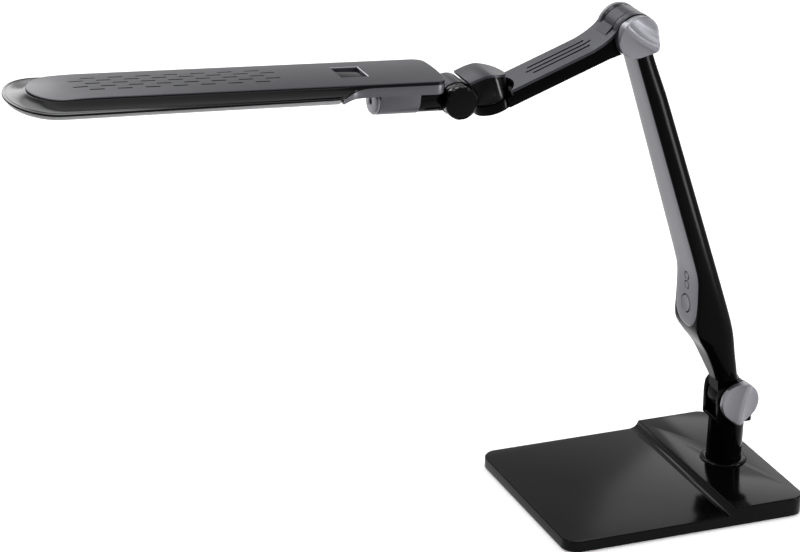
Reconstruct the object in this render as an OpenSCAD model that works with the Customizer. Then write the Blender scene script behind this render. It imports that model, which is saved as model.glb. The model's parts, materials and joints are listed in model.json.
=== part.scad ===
// Folding LED desk lamp: a weighted base, two arms clamped by wing knobs, a wrist that
// swivels and tilts, and a long light head. The head reaches towards -X and the origin is
// on the table, on the axis of the post.

/* [Base] */
// Length of the base, front to back
base_l = 199; // [180:1:230]
// Width of the base
base_w = 160; // [140:1:190]
// Radius of the base's corners
base_corner = 12; // [6:0.5:20]
// Height of the low front deck
deck_h = 9.8; // [9:0.1:13]
// Height of the raised rear deck
rear_h = 15.9; // [15:0.1:22]
// Distance from the post's axis forward to the top of the step
step_x = 33; // [26:0.5:50]
// Distance from the post's axis back to the rear edge
rear_x = 28.5; // [24:0.5:40]
// Wall thickness of the base shell
base_wall = 2.2; // [1.6:0.1:2.6]
// Thickness of the anti-slip pad
pad_t = 1.2; // [0.8:0.1:1.6]
// Thickness of the bottom plate
plate_t = 1.2; // [0.8:0.1:1.6]
// Radius of the power inlet's socket
inlet_r = 2.8; // [2.5:0.1:3.2]
// Width of the bevel round the base's top edges
base_edge = 0.8; // [0.3:0.1:1.2]

/* [Post] */
// Radius of the post
post_r = 13.6; // [11:0.1:15]
// Height of the first hinge above the table
hinge_z = 71; // [62:0.5:100]
// Radius of the hinge ears on the post
ear_r = 15.3; // [14:0.1:17]
// Radius of the post's pivot below the deck
pivot_r = 8; // [6:0.1:9]

/* [Joints] */
// Half thickness of the tongue between two ears
tongue_half = 7.4; // [5:0.1:8]
// Thickness of a friction washer
washer_t = 0.8; // [0.5:0.1:1.5]
// Thickness of a hinge ear
ear_t = 5.8; // [4.5:0.1:7]
// Radius of the hinge bolts
bolt_r = 3; // [2.5:0.1:4]
// Radius of the wing knobs
knob_r = 15.7; // [13:0.1:17]
// Thickness of a wing knob's rim
knob_rim = 5.2; // [4:0.1:7]
// Height of a knob's wing above its rim
wing_h = 4.6; // [3:0.1:7]
// Lean of the post knob's wing from upright
post_wing = 10; // [-45:5:45]
// Lean of the elbow knob's wing from upright
elbow_wing = -54; // [-80:2:80]

/* [Lower arm] */
// Distance between the lower arm's two hinges
lower_l = 322.5; // [260:0.5:400]
// Forward lean of the lower arm at rest
lower_lean = 19.5; // [5:0.5:40]
// Half width of the lower arm beside the elbow
lower_top_half = 14; // [12.5:0.1:16]
// Half width of the lower arm at its keys
lower_key_half = 18.6; // [16:0.1:21]
// Distance from the hinge line to the arm's front face at the elbow
lower_front = 2.8; // [1:0.1:5]
// Distance from the hinge line to the arm's back face
lower_back = 11; // [8:0.1:13]
// Distance from the first hinge to the crest of the key bulge
bulge_s = 73; // [66:0.5:95]
// Distance from the hinge line to the crest of the key bulge
bulge_t = 17.6; // [13:0.1:20]
// Thickness of the front facia
facia_t = 1.4; // [1:0.1:2]
// Width of the arm's dark edge beside the facia
facia_edge = 1.5; // [1:0.1:3]
// Distance from the first hinge to the power key
power_s = 91; // [86:0.5:96]
// Radius of the power key
power_r = 6.6; // [5:0.1:8]
// Distance from the power key to the dimmer keys' middle
dimmer_gap = 18; // [16:0.5:24]
// Distance between the two dimmer keys
dimmer_pitch = 7.4; // [6.6:0.1:9]
// Radius of a dimmer key
dimmer_r = 2.8; // [2:0.1:3.2]
// Travel of the keys
key_travel = 0.8; // [0.4:0.1:1.2]

/* [Upper arm] */
// Distance from the elbow to the wrist's swivel axis
upper_l = 111; // [95:0.5:140]
// Drop of the upper arm below level at rest
upper_drop = 20; // [5:0.5:40]
// Half width of the upper arm
upper_half = 15; // [13:0.1:17]
// Distance from the elbow's axis up to the arm's top face
upper_top = 4; // [3:0.1:6]
// Distance from the elbow's axis down to the arm's underside
upper_under = 8; // [7:0.1:10]
// Thickness of the arm's top cover
upper_cover_t = 2.2; // [1.6:0.1:2.6]
// Radius of the elbow caps
cap_r = 16; // [15.4:0.1:17.5]
// Number of grooves along the top cover
groove_n = 3; // [1:1:5]
// Distance between the grooves
groove_pitch = 5.3; // [4:0.1:6]
// Length of the middle groove
groove_l = 53; // [30:1:60]

/* [Wrist] */
// Radius of the swivel drum
drum_r = 14; // [12:0.1:15]
// Height of the wrist's top above the elbow's line
wrist_top = 23; // [20:0.1:26]
// Distance from the swivel axis to the tilt axis, along the arm
tilt_reach = 26.2; // [24.5:0.1:32]
// Height of the tilt axis above the elbow's line
tilt_rise = 12.6; // [12.6:0.1:15]
// Radius of the tilt hub
hub_r = 12.5; // [11:0.1:13]
// Radius of the bar that carries the head
bar_r = 10; // [8:0.1:10.5]
// Radius of the bar's spigot inside the head's sleeve
spigot_r = 7; // [5:0.1:8]
// Reach of the tilt hub from the lamp's middle towards the knob
hub_near = 6.2; // [5.6:0.1:6.4]
// Reach of the tilt hub from the lamp's middle away from the knob
hub_far = 15.4; // [14.4:0.1:16]

/* [Head] */
// Length of the head from its rear edge to its tip
head_l = 310.5; // [260:0.5:360]
// Rise of the head above level at rest
head_pitch = 3.8; // [0:0.2:15]
// Half width of the top cover
cover_half = 25.8; // [22:0.1:29]
// Half width of the dark rim at its nose
rim_half = 39.8; // [36:0.1:44]
// Half width of the dark rim where it ends over the neck
rim_rear = 35.6; // [32:0.1:38]
// Length of the rim's round nose
rim_round = 30.7; // [24:0.1:44]
// Drop from the cover's edge to the rim's outer edge
rim_fall = 5.9; // [4:0.1:6.4]
// Height of the rim's outer edge
rim_lip = 1.7; // [1.2:0.1:2.4]
// Height of the cover's edge above the bar's axis
cover_z = 20; // [18:0.1:24]
// Crown of the top cover
crown = 1.5; // [0.8:0.1:3]
// Distance that the rim reaches past the cover's tip
rim_reach = 15.3; // [10:0.1:24]
// Wall thickness of the rim
rim_wall = 2.2; // [1.6:0.1:3]
// Length of the cover's round nose
cover_round = 22; // [16:0.1:30]
// Fall of the cover's top towards its tip
tip_drop = 2.9; // [1.8:0.1:3.4]
// Length over which the cover's top falls
tip_fall = 44; // [30:1:60]
// Distance from the tilt axis to where the rim ends over the neck
cut_s = 94; // [90:0.5:108]
// Distance from the tilt axis to the sleeve
neck_near = 29; // [27:0.5:31]
// Length of the sleeve that turns on the bar
neck_l = 30; // [26:0.5:34]
// Distance from the tilt axis to the window
window_near = 70; // [64:0.5:72]
// Length of the window along the head
window_l = 21; // [14:0.5:22]
// Half width of the window
window_half = 11; // [7:0.5:14]
// Distance of the neck's screws from the head's middle
screw_row = 17; // [14:0.5:19]
// Number of vent slots in a long row
vent_n = 8; // [4:1:9]
// Length of a vent slot
vent_l = 10.4; // [6:0.1:12]
// Width of a vent slot
vent_w = 1.4; // [1:0.1:1.8]
// Distance between the vent slots of a row
vent_pitch = 20; // [18:0.5:22]
// Distance between the rows of vent slots
vent_gap = 5.9; // [4:0.1:7]
// Distance from the cover's tip to the first vent slot
vent_start = 32; // [24:1:40]
// Number of light diodes in a row
led_n = 14; // [6:1:20]
// Distance of each row of diodes from the head's middle
led_row = 9; // [6:0.5:13]

/* [Hidden] */
$fn = 64;

gap = 0.3;        // air between a moving piece and its neighbour
run = 0.05;       // radial running clearance of a shaft in its hole
seat = 0.1;       // clearance round a piece that is set into another
eps = 0.01;

black = [0.06, 0.06, 0.065];
satin = [0.42, 0.42, 0.44];
silver = [0.62, 0.62, 0.64];
steel = [0.7, 0.7, 0.72];
rubber = [0.12, 0.12, 0.12];

// Helpers for curves and placing

// One stretch of a smooth curve through p1 and p2
function smooth(p0, p1, p2, p3, u) =
    0.5 * (2 * p1 + (p2 - p0) * u + (2 * p0 - 5 * p1 + 4 * p2 - p3) * u * u
           + (3 * p1 - p0 - 3 * p2 + p3) * u * u * u);
// A smooth curve through the points p, with n steps between neighbours
function curve(p, n = 5) = [
    for (i = [0 : len(p) - 2], k = [0 : n - 1])
        smooth(p[max(i - 1, 0)], p[i], p[i + 1], p[min(i + 2, len(p) - 1)], k / n),
    p[len(p) - 1]
];
function arc(c, r, a0, a1, n = 10) = [
    for (i = [0 : n]) [c[0] + r * cos(a0 + (a1 - a0) * i / n), c[1] + r * sin(a0 + (a1 - a0) * i / n)]
];
// The blunt round nose of an outline: half width b, reaching nose past the straight part
function nose(tip, b, reach, n = 16, e = 2.6) = [
    for (i = [0 : n])
        let (a = 90 - 180 * i / n)
        [-(tip - reach + reach * pow(abs(cos(a)), 2 / e)), b * sign(sin(a)) * pow(abs(sin(a)), 2 / e)]
];
// Outline of a bar seen from above, from its rear edge to its nose
function bar_plan(rear, tip, b, corner, reach, e = 2.6) = concat(
    nose(tip, b, reach, 16, e),
    arc([-rear - corner, -b + corner], corner, -90, 0),
    arc([-rear - corner, b - corner], corner, 0, 90)
);
function flip(p) = [for (q = p) [-q[0], q[1]]];

// A plate of width w whose outline lies in the XZ plane
module side_plate(w) { rotate([90, 0, 0]) translate([0, 0, -w / 2]) linear_extrude(w) children(); }
// A plate from x0 to x1 whose outline lies in the YZ plane
module front_plate(x0, x1) { translate([x0, 0, 0]) rotate([90, 0, 90]) linear_extrude(x1 - x0) children(); }
// A cylinder along Y from y0 to y1
module rod_y(r, y0, y1) { translate([0, y0, 0]) rotate([-90, 0, 0]) cylinder(r = r, h = y1 - y0); }
// A cylinder towards -X from s0 to s1
module rod_x(r, s0, s1) { translate([-s1, 0, 0]) rotate([0, 90, 0]) cylinder(r = r, h = s1 - s0); }
module mirrored_y() { children(); mirror([0, 1, 0]) children(); }

ear_in = tongue_half + seat + washer_t;          // inner face of an ear
ear_out = ear_in + ear_t;                        // outer face of an ear
cap_out = ear_out + 1.5;                         // outer face of an elbow cap
bolt_head_r = bolt_r * 1.9;
bolt_head_h = bolt_r * 1.1;

module lower_frame() { translate([0, 0, hinge_z]) rotate([0, -lower_lean, 0]) children(); }
module elbow_frame() { lower_frame() translate([0, 0, lower_l]) rotate([0, lower_lean, 0]) children(); }
module upper_frame() { elbow_frame() rotate([0, -upper_drop, 0]) children(); }
module wrist_frame() { upper_frame() translate([-upper_l, 0, 0]) children(); }
module tilt_frame() { wrist_frame() translate([-tilt_reach, 0, tilt_rise]) rotate([0, upper_drop, 0]) children(); }
module head_frame() { tilt_frame() rotate([0, head_pitch, 0]) children(); }

// Base

base_front = rear_x - base_l;
plate_z = pad_t;
shell_z = pad_t;
inlet_y = base_w / 4;
inlet_z = (plate_z + plate_t + rear_h - base_wall) / 2;
post_foot = rear_h + seat;
nut_h = 3.6;
wave_h = 0.4;
screw_in = base_corner + 3;

module rounded_plate(x0, x1, w, r, z0, z1) {
    translate([0, 0, z0]) linear_extrude(z1 - z0) union() {
        translate([x0 + r, -w / 2]) square([x1 - x0 - 2 * r, w]);
        translate([x0, -w / 2 + r]) square([x1 - x0, w - 2 * r]);
        for (x = [x0 + r, x1 - r], y = [-w / 2 + r, w / 2 - r]) translate([x, y]) circle(r);
    }
}

// The same plate with its top edges bevelled by c
module edged_plate(x0, x1, w, r, z0, z1, c) {
    rounded_plate(x0, x1, w, r, z0, z1 - c);
    side_plate(w - 2 * r) polygon([[x0, z1 - c], [x1, z1 - c], [x1 - c, z1], [x0 + c, z1]]);
    front_plate(x0 + r, x1 - r) polygon([[-w / 2, z1 - c], [w / 2, z1 - c], [w / 2 - c, z1], [-w / 2 + c, z1]]);
    for (x = [x0 + r, x1 - r], y = [-w / 2 + r, w / 2 - r]) translate([x, y, z1 - c]) cylinder(r1 = r, r2 = r - c, h = c);
}

// Side view of the base: low deck, a hollow curve up to the rear deck
module base_profile(drop, z0) {
    cove = rear_h - deck_h;
    side_plate(base_w + 2)
        polygon(concat(
            [[base_front - 1, z0], [rear_x + 1, z0], [rear_x + 1, rear_h - drop],
             [-step_x + drop + base_edge / 2, rear_h - drop]],
            arc([-step_x + drop - cove, rear_h - drop], cove, -8, -90),
            [[base_front - 1, deck_h - drop]]
        ));
}

module screw_places() {
    for (x = [base_front + screw_in, rear_x - screw_in], y = [-1, 1])
        translate([x, y * (base_w / 2 - screw_in), 0]) children();
}

module base_shell() {
    color(black) difference() {
        intersection() {
            union() {
                edged_plate(base_front, rear_x, base_w, base_corner, shell_z, deck_h, base_edge);
                intersection() {
                    edged_plate(base_front, rear_x, base_w, base_corner, shell_z, rear_h, base_edge);
                    translate([-step_x - rear_h + deck_h, -base_w, 0]) cube([step_x + rear_x + rear_h, 2 * base_w, 2 * rear_h]);
                }
            }
            base_profile(0, 0);
        }
        difference() {
            intersection() {
                rounded_plate(base_front + base_wall, rear_x - base_wall, base_w - 2 * base_wall,
                              base_corner - base_wall, 0, rear_h);
                base_profile(base_wall, 0);
            }
            screw_places() translate([0, 0, plate_z + plate_t]) cylinder(r = 3.4, h = rear_h);
        }
        cylinder(r = pivot_r + run, h = rear_h + 1);
        screw_places() cylinder(r = 1.4, h = deck_h - base_wall);
        translate([rear_x - base_wall - 1, inlet_y, inlet_z]) rotate([0, 90, 0])
            cylinder(r = inlet_r + 1.7, h = base_wall + 2);
    }
}

module base_ballast() {
    z0 = plate_z + plate_t;
    low = deck_h - base_wall - gap - z0;
    high = rear_h - base_wall - gap - z0;
    m = base_wall + 1;
    color(steel) difference() {
        union() {
            rounded_plate(base_front + m, rear_x - m, base_w - 2 * m, base_corner - m, z0, z0 + low);
            intersection() {
                rounded_plate(base_front + m, rear_x - m, base_w - 2 * m, base_corner - m, z0, z0 + high);
                translate([-step_x + base_wall + 2, -base_w, 0]) cube([step_x + rear_x, 2 * base_w, rear_h]);
            }
        }
        translate([0, 0, z0 - 1]) cylinder(r = post_r + 6, h = rear_h);
        screw_places() translate([0, 0, z0 - 1]) cylinder(r = 4.4, h = rear_h);
        translate([rear_x - 20, inlet_y - 8, z0 - 1]) cube([20, 16, rear_h]);
    }
}

module base_plate() {
    color(black) difference() {
        rounded_plate(base_front + base_wall + seat, rear_x - base_wall - seat,
                      base_w - 2 * base_wall - 2 * seat, base_corner - base_wall, plate_z, plate_z + plate_t);
        screw_places() cylinder(r = 1.8, h = deck_h);
    }
}

module base_pad() {
    color(rubber) difference() {
        rounded_plate(base_front + base_wall, rear_x - base_wall, base_w - 2 * base_wall,
                      base_corner - base_wall, 0, pad_t);
        screw_places() translate([0, 0, -1]) cylinder(r = 4, h = pad_t + 2);
    }
}

module base_screws() {
    head = min(0.9, pad_t - seat);
    color(steel) screw_places() {
        translate([0, 0, plate_z - head]) cylinder(r = 3, h = head);
        translate([0, 0, plate_z - eps]) cylinder(r = 1.35, h = deck_h - base_wall - plate_z - 0.6);
    }
}

module power_inlet() {
    inlet_l = 12;
    color(black) translate([rear_x, inlet_y, inlet_z]) rotate([0, -90, 0]) difference() {
        union() {
            cylinder(r = inlet_r + 1.6, h = base_wall + 1);
            translate([-inlet_r - 1.6, -inlet_r - 2.4, base_wall + seat])
                cube([2 * inlet_r + 3.2, 2 * inlet_r + 4.8, inlet_l - base_wall]);
        }
        difference() {
            translate([0, 0, -eps]) cylinder(r = inlet_r, h = inlet_l - 2);
            cylinder(r = 1, h = inlet_l - 2);
        }
    }
}

module swivel_collar() {
    collar_h = 1.6;
    color(black) translate([0, 0, rear_h]) difference() {
        union() {
            cylinder(r = post_r + 4.5, h = collar_h / 2);
            translate([0, 0, collar_h / 2]) cylinder(r1 = post_r + 4.5, r2 = post_r + 3, h = collar_h / 2);
        }
        translate([0, 0, -1]) cylinder(r = post_r + run, h = collar_h + 2);
    }
}

// Post with its two ears

slot_floor = hinge_z - ear_r - 1;

module post() {
    shoulder = hinge_z - ear_r - 4;
    color(black) difference() {
        union() {
            translate([0, 0, post_foot]) cylinder(r = post_r, h = shoulder - post_foot);
            translate([0, 0, plate_z + plate_t + 2]) cylinder(r = pivot_r, h = rear_h);
            intersection() {
                translate([0, 0, shoulder - 8]) linear_extrude(hinge_z)
                    intersection() {
                        square([2 * ear_r, 2 * ear_out], center = true);
                        circle(ear_r * 1.25);
                    }
                side_plate(2 * ear_out) union() {
                    translate([0, hinge_z]) circle(ear_r);
                    polygon([[-post_r, shoulder], [post_r, shoulder], [ear_r * 0.98, hinge_z - ear_r * 0.2],
                             [-ear_r * 0.98, hinge_z - ear_r * 0.2]]);
                }
            }
        }
        translate([-ear_r - 1, -ear_in, slot_floor]) cube([2 * ear_r + 2, 2 * ear_in, hinge_z]);
        translate([0, 0, hinge_z]) rod_y(bolt_r + run, -ear_out - 1, ear_out + 1);
        translate([0, 0, hinge_z]) rod_y(bolt_head_r + seat, ear_out - bolt_head_h - seat, ear_out + 1);
        translate([0, 0, -1]) cylinder(r = pivot_r - 3, h = slot_floor - 3);
    }
}

module post_nut() {
    top = rear_h - base_wall - gap - wave_h;
    color(steel) difference() {
        union() {
            translate([0, 0, top - nut_h]) cylinder(r = pivot_r + 4.5, h = nut_h, $fn = 6);
            translate([0, 0, top]) cylinder(r = pivot_r + 4, h = wave_h);
        }
        cylinder(r = pivot_r, h = rear_h);
    }
}

// Two friction washers beside a tongue
module washer_pair(r) {
    mirrored_y() translate([0, tongue_half + seat, 0]) rotate([-90, 0, 0]) difference() {
        cylinder(r = r, h = washer_t);
        translate([0, 0, -1]) cylinder(r = bolt_r + run, h = washer_t + 2);
    }
}

module clamp_bolt(head_y, end_y) {
    rod_y(bolt_r, -end_y, head_y);
    translate([0, head_y - eps, 0]) rotate([-90, 0, 0]) difference() {
        cylinder(r = bolt_head_r, h = bolt_head_h, $fn = 6);
        translate([0, 0, bolt_head_h - 1]) cylinder(r = bolt_r * 0.6, h = 2);
    }
}

// Wing knob: a round disc whose outer half is scooped away on both sides of one rib
module wing_knob(inner, lean) {
    depth = knob_rim + wing_h;
    rib = 2.1;
    scoop = knob_r * 1.1;
    bore_l = knob_rim + 1.5;
    rotate([0, lean, 0]) difference() {
        union() {
            rod_y(knob_r, -inner - depth, -inner - 1);
            rod_y(knob_r - 1, -inner - 1 - eps, -inner);
            intersection() {
                translate([-rib - 0.6, -inner - depth, -knob_r - 1.6])
                    cube([2 * rib + 1.2, depth - 1.4, 2 * knob_r + 3.2]);
                rod_y(knob_r + 1.6, -inner - depth, -inner);
            }
        }
        for (side = [-1, 1])
            translate([side * (rib + scoop), -inner - knob_rim - scoop * 0.86, -knob_r - 3])
                cylinder(r = scoop, h = 2 * knob_r + 6);
        for (side = [-1, 1])
            translate([side > 0 ? rib + scoop * 0.8 : -rib - scoop * 0.8 - knob_r, -inner - depth - 1, -knob_r - 3])
                cube([knob_r, wing_h + 1, 2 * knob_r + 6]);
        rod_y(bolt_r + run, -inner - bore_l, -inner + 1);
    }
}

module post_washers() { color(black) translate([0, 0, hinge_z]) washer_pair(ear_r - 1.5); }
module post_bolt() {
    color(steel) translate([0, 0, hinge_z]) clamp_bolt(ear_out - bolt_head_h - seat / 2, ear_out + gap + knob_rim);
}
module post_cap() { color(black) translate([0, 0, hinge_z]) rod_y(ear_r - 3.5, ear_out, ear_out + 1.2); }
module post_knob() { color(silver) translate([0, 0, hinge_z]) wing_knob(ear_out + gap, post_wing); }

// Lower arm. In its own frame Z runs up the arm and the front face looks towards -X

arm_foot = ear_r + 1.7;
arm_head = lower_l - cap_r - gap;
front_line = [
    [arm_foot, 8.6], [arm_foot + 13, 9.8], [bulge_s - 24, bulge_t - 5.4], [bulge_s - 10, bulge_t - 1.6],
    [bulge_s, bulge_t], [bulge_s + 7, bulge_t - 1.1], [bulge_s + 15, bulge_t - 3.9],
    [bulge_s + 29, bulge_t - 8.7], [bulge_s + 42, lower_front + 2.6], [bulge_s + 57, lower_front + 1.7],
    [bulge_s + 95, lower_front + 1.2], [lower_l - 40, lower_front], [lower_l, lower_front]
];
half_line = [
    [arm_foot, lower_top_half - 0.6], [arm_foot + 18, lower_key_half - 2], [bulge_s - 8, lower_key_half],
    [bulge_s + 45, lower_key_half], [lower_l - 40, lower_top_half + 0.6], [lower_l, lower_top_half - 0.5]
];
front_curve = curve(front_line, 4);
half_curve = curve(half_line, 5);

// Side view of the arm, its front face moved in by drop
module lower_side(drop) {
    polygon(concat(
        [for (p = front_curve) [-p[1] + drop, p[0]]],
        [[lower_back, lower_l], [lower_back, bulge_s - 10], [lower_back - 3.6, arm_foot]]
    ));
}
// Front view of the arm, its edges moved in by drop, over the stretch from s0
module lower_front_view(drop) {
    polygon(concat(
        [for (p = half_curve) [p[1] - drop, p[0]]],
        [for (i = [len(half_curve) - 1 : -1 : 0]) [-half_curve[i][1] + drop, half_curve[i][0]]]
    ));
}
// Cross-section that rounds the arm's two rear edges
module lower_section() {
    r = 7;
    w = lower_key_half;
    linear_extrude(lower_l) union() {
        translate([-bulge_t - 2, -w - 1]) square([bulge_t + 2 + lower_back - r, 2 * w + 2]);
        translate([0, -w + r - 1.5]) square([lower_back, 2 * (w - r + 1.5)]);
        for (y = [-w + r - 1.5, w - r + 1.5]) translate([lower_back - r, y]) circle(r);
    }
}

facia_end = bulge_s - 4;      // lower end of the facia's drop-shaped outline
// Front view of the facia: a long strip that ends in a drop
module facia_outline(grow) {
    wide = lower_key_half - facia_edge;
    side = [for (p = half_curve) if (p[0] > facia_end + wide && p[0] < arm_head - 4) [p[1] - facia_edge + grow, p[0]]];
    polygon(concat(
        side,
        [[side[len(side) - 1][0], arm_head - 2 + grow], [-side[len(side) - 1][0], arm_head - 2 + grow]],
        [for (i = [len(side) - 1 : -1 : 0]) [-side[i][0], side[i][1]]],
        arc([0, facia_end + wide], wide + grow, 180, 360, 20)
    ));
}
module facia_solid(grow, depth) {
    intersection() {
        side_plate(3 * lower_key_half) difference() {
            lower_side(0);
            translate([depth, 0]) lower_side(0);
        }
        front_plate(-bulge_t - 2, lower_back) facia_outline(grow);
    }
}

// Where the front face lies at a distance s along the arm, and how steep it is there
function front_at(s) = lookup(s, [for (p = front_curve) [p[0], p[1]]]);
function front_slope(s) = atan2(front_at(s - 3) - front_at(s + 3), 6);
// Frame of a key: Z out of the front face, at s along the arm
module key_frame(s) {
    lower_frame() translate([-front_at(s), 0, s]) rotate([0, front_slope(s), 0]) rotate([0, -90, 0]) children();
}
dimmer_s = power_s + dimmer_gap;
key_s = [power_s, dimmer_s + dimmer_pitch / 2, dimmer_s - dimmer_pitch / 2];
key_r = [power_r, dimmer_r, dimmer_r];
key_proud = 0.9;
key_stem = 3.2;

module key_well(i) {
    key_frame(key_s[i]) {
        translate([0, 0, -facia_t - 2]) cylinder(r = key_r[i] + gap, h = facia_t + 6);
        translate([0, 0, -key_stem - key_travel - 0.6]) cylinder(r = key_r[i] * 0.6 + gap, h = 5);
    }
}
// The key board lies behind the keys, square to the face between them
board_s = (power_s + dimmer_s) / 2 + 1;
board_l = dimmer_s + dimmer_pitch - power_s + power_r + 8;
board_t = 1.2;
switch_h = 1.8;
board_depth = key_stem + key_travel + switch_h + 0.9;
// Height of the point (x, s) of the arm's frame above the board's own face frame
function over_board(x, s) =
    -(x + front_at(board_s)) * cos(front_slope(board_s)) + (s - board_s) * sin(front_slope(board_s));
// Place of the point (x, s) along the board
function along_board(x, s) =
    (x + front_at(board_s)) * sin(front_slope(board_s)) + (s - board_s) * cos(front_slope(board_s));
// Where the inner end of key i's stem lies when it is pressed home
function stem_end(i) =
    let (s = key_s[i], d = key_stem + key_travel, a = front_slope(s))
    [-front_at(s) + d * cos(a), s - d * sin(a)];
module board_box(grow) {
    key_frame(board_s) translate([-board_l / 2 - grow, -8 - grow, -board_depth - board_t - grow])
        cube([board_l + 2 * grow, 16 + 2 * grow, board_t + 2 * grow]);
}
module board_room() {
    key_frame(board_s) translate([-board_l / 2 - seat, -4, -board_depth - seat])
        cube([board_l + 2 * seat, 8, board_depth - key_stem + 0.8]);
}

module lower_shell() {
    neck_y = ear_out - 0.8;
    color(black) difference() {
        union() {
            lower_frame() difference() {
                intersection() {
                    side_plate(3 * lower_key_half) lower_side(0);
                    front_plate(-bulge_t - 2, lower_back + 1) lower_front_view(0);
                    lower_section();
                    translate([-50, -50, 0]) cube([100, 100, arm_head + cap_r]);
                }
                translate([0, 0, lower_l]) rod_y(cap_r + gap, -30, 30);
                rod_y(arm_foot - 0.4, -30, 30);
            }
            lower_frame() {
                rod_y(ear_r - 0.8, -tongue_half, tongue_half);
                side_plate(2 * tongue_half) polygon([
                    [-8.4, arm_foot + 3], [lower_back - 4, arm_foot + 3], [10, 4], [-12, 4]
                ]);
                translate([0, 0, lower_l]) mirrored_y() {
                    rod_y(cap_r - 1.6, ear_in, ear_out);
                    intersection() {
                        translate([-lower_front, ear_in, -cap_r - 6])
                            cube([lower_front + lower_back - 1, neck_y - ear_in, cap_r + 6]);
                        translate([-50, 0, -cap_r - 6]) cube([100, 30, cap_r + 6]);
                    }
                }
            }
        }
        lower_frame() {
            facia_solid(seat, facia_t + seat);
            rod_y(bolt_r + run, -ear_out, ear_out);
            translate([0, 0, lower_l]) {
                rod_y(bolt_r + run, -ear_out - 1, ear_out + 1);
                rod_y(bolt_head_r + seat, ear_out - bolt_head_h - seat, ear_out + 1);
                translate([-40, -ear_in, -cap_r - gap + eps]) cube([80, 2 * ear_in, 60]);
            }
            lower_screw_places() translate([-20, 0, 0]) rotate([0, 90, 0]) cylinder(r = 1.2, h = 40);
        }
        board_box(seat);
        board_room();
        for (i = [0 : 2]) key_well(i);
    }
}

module lower_facia() {
    color(satin) difference() {
        lower_frame() facia_solid(0, facia_t);
        for (i = [0 : 2]) key_frame(key_s[i])
            translate([0, 0, -facia_t - 3]) cylinder(r = key_r[i] + gap, h = facia_t + 6);
    }
}

module lower_screw_places() {
    for (s = [bulge_s - 12, lower_l * 0.5, arm_head - 26]) translate([0, 0, s]) children();
}
module lower_screws() {
    color(steel) lower_frame() lower_screw_places() {
        translate([lower_back - 1.2, 0, 0]) rotate([0, 90, 0]) cylinder(r = 1.15, h = 0.2);
        translate([lower_back - 7, 0, 0]) rotate([0, 90, 0]) cylinder(r = 1.15, h = 6);
    }
}

module key_board() {
    color("darkgreen") board_box(0);
}
module key_switches() {
    color(silver) for (i = [0 : 2])
        let (p = stem_end(i), top = over_board(p[0], p[1]) - 0.15)
        key_frame(board_s) translate([along_board(p[0], p[1]) - 1.9, -2, -board_depth])
            cube([3.8, 4, top + board_depth]);
}
module key(i, tint) {
    r = key_r[i];
    color(tint) key_frame(key_s[i]) {
        translate([0, 0, -facia_t]) cylinder(r = r, h = facia_t + key_proud - 0.4);
        translate([0, 0, key_proud - 0.4 - eps]) cylinder(r1 = r, r2 = r - 0.6, h = 0.4);
        translate([0, 0, -key_stem]) cylinder(r = r * 0.6, h = key_stem - facia_t + eps);
    }
}
module power_key() { key(0, silver); }
module brighter_key() { key(1, silver); }
module dimmer_key() { key(2, silver); }

// Elbow

// A cup over an ear, open where the ear's neck comes in
module elbow_cup(hole) {
    neck_y = ear_out - 0.8 + seat;
    difference() {
        rod_y(cap_r, ear_in + gap, cap_out);
        rod_y(cap_r - 1.5, ear_in, ear_out + seat);
        if (hole > 0) rod_y(hole, ear_in, cap_out + 1);
        rotate([0, -lower_lean, 0])
            translate([-lower_front - seat, ear_in - 1, -cap_r - 6])
                cube([lower_front + lower_back - 1 + 2 * seat, neck_y - ear_in + 1, cap_r + 6]);
    }
}
module elbow_cap_far() { color(satin) elbow_frame() elbow_cup(0); }
module elbow_cap_near() { color(satin) elbow_frame() mirror([0, 1, 0]) elbow_cup(bolt_r + 1); }
module elbow_bolt() {
    color(steel) elbow_frame() rotate([0, -lower_lean, 0])
        clamp_bolt(ear_out - bolt_head_h - seat / 2, cap_out + gap + knob_rim);
}
module elbow_washers() { color(black) elbow_frame() washer_pair(cap_r - 1.7); }
module elbow_knob() { color(silver) elbow_frame() wing_knob(cap_out + gap, elbow_wing); }

// Upper arm. In its own frame the arm runs towards -X and its top face looks up

arm_end = upper_l - drum_r - 4.6;        // where the arm's full section ends, on its axis
wall_r = drum_r + 4.6;                   // hollow end of the arm round the drum
tongue_top = -0.6;
skirt = cap_r + gap;
// Top of the arm in side view, flaring up to the elbow
upper_top_curve = curve([
    [arm_end + 12, upper_top], [skirt + 26, upper_top], [skirt + 14, upper_top + 0.5],
    [skirt + 5, upper_top + 2.2], [skirt - 2, upper_top + 4.8], [skirt - 6, upper_top + 8]
], 4);
upper_under_curve = curve([
    [skirt - 6, -upper_under - 1.4], [skirt - 2, -upper_under - 0.8], [skirt + 5, -upper_under - 0.3],
    [skirt + 14, -upper_under], [arm_end + 12, -upper_under]
], 4);

module upper_side(top_drop) {
    polygon(concat(
        [for (p = upper_top_curve) [-p[0], p[1] - top_drop]],
        [for (p = upper_under_curve) [-p[0], p[1]]]
    ));
}
// Web between the elbow's knuckle and the arm
module knuckle_neck(grow) {
    side_plate(2 * tongue_half + 2 * grow) polygon([
        [-skirt - 5, upper_top - upper_cover_t + grow], [-skirt - 5, -upper_under - 0.4],
        [-4, -cap_r + 4], [-4, cap_r - 4 + grow]
    ]);
}
module elbow_clear() { rod_y(skirt, -30, 30); }
module drum_clear(r) { translate([-upper_l, 0, tongue_top]) cylinder(r = r, h = 40); }

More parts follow.
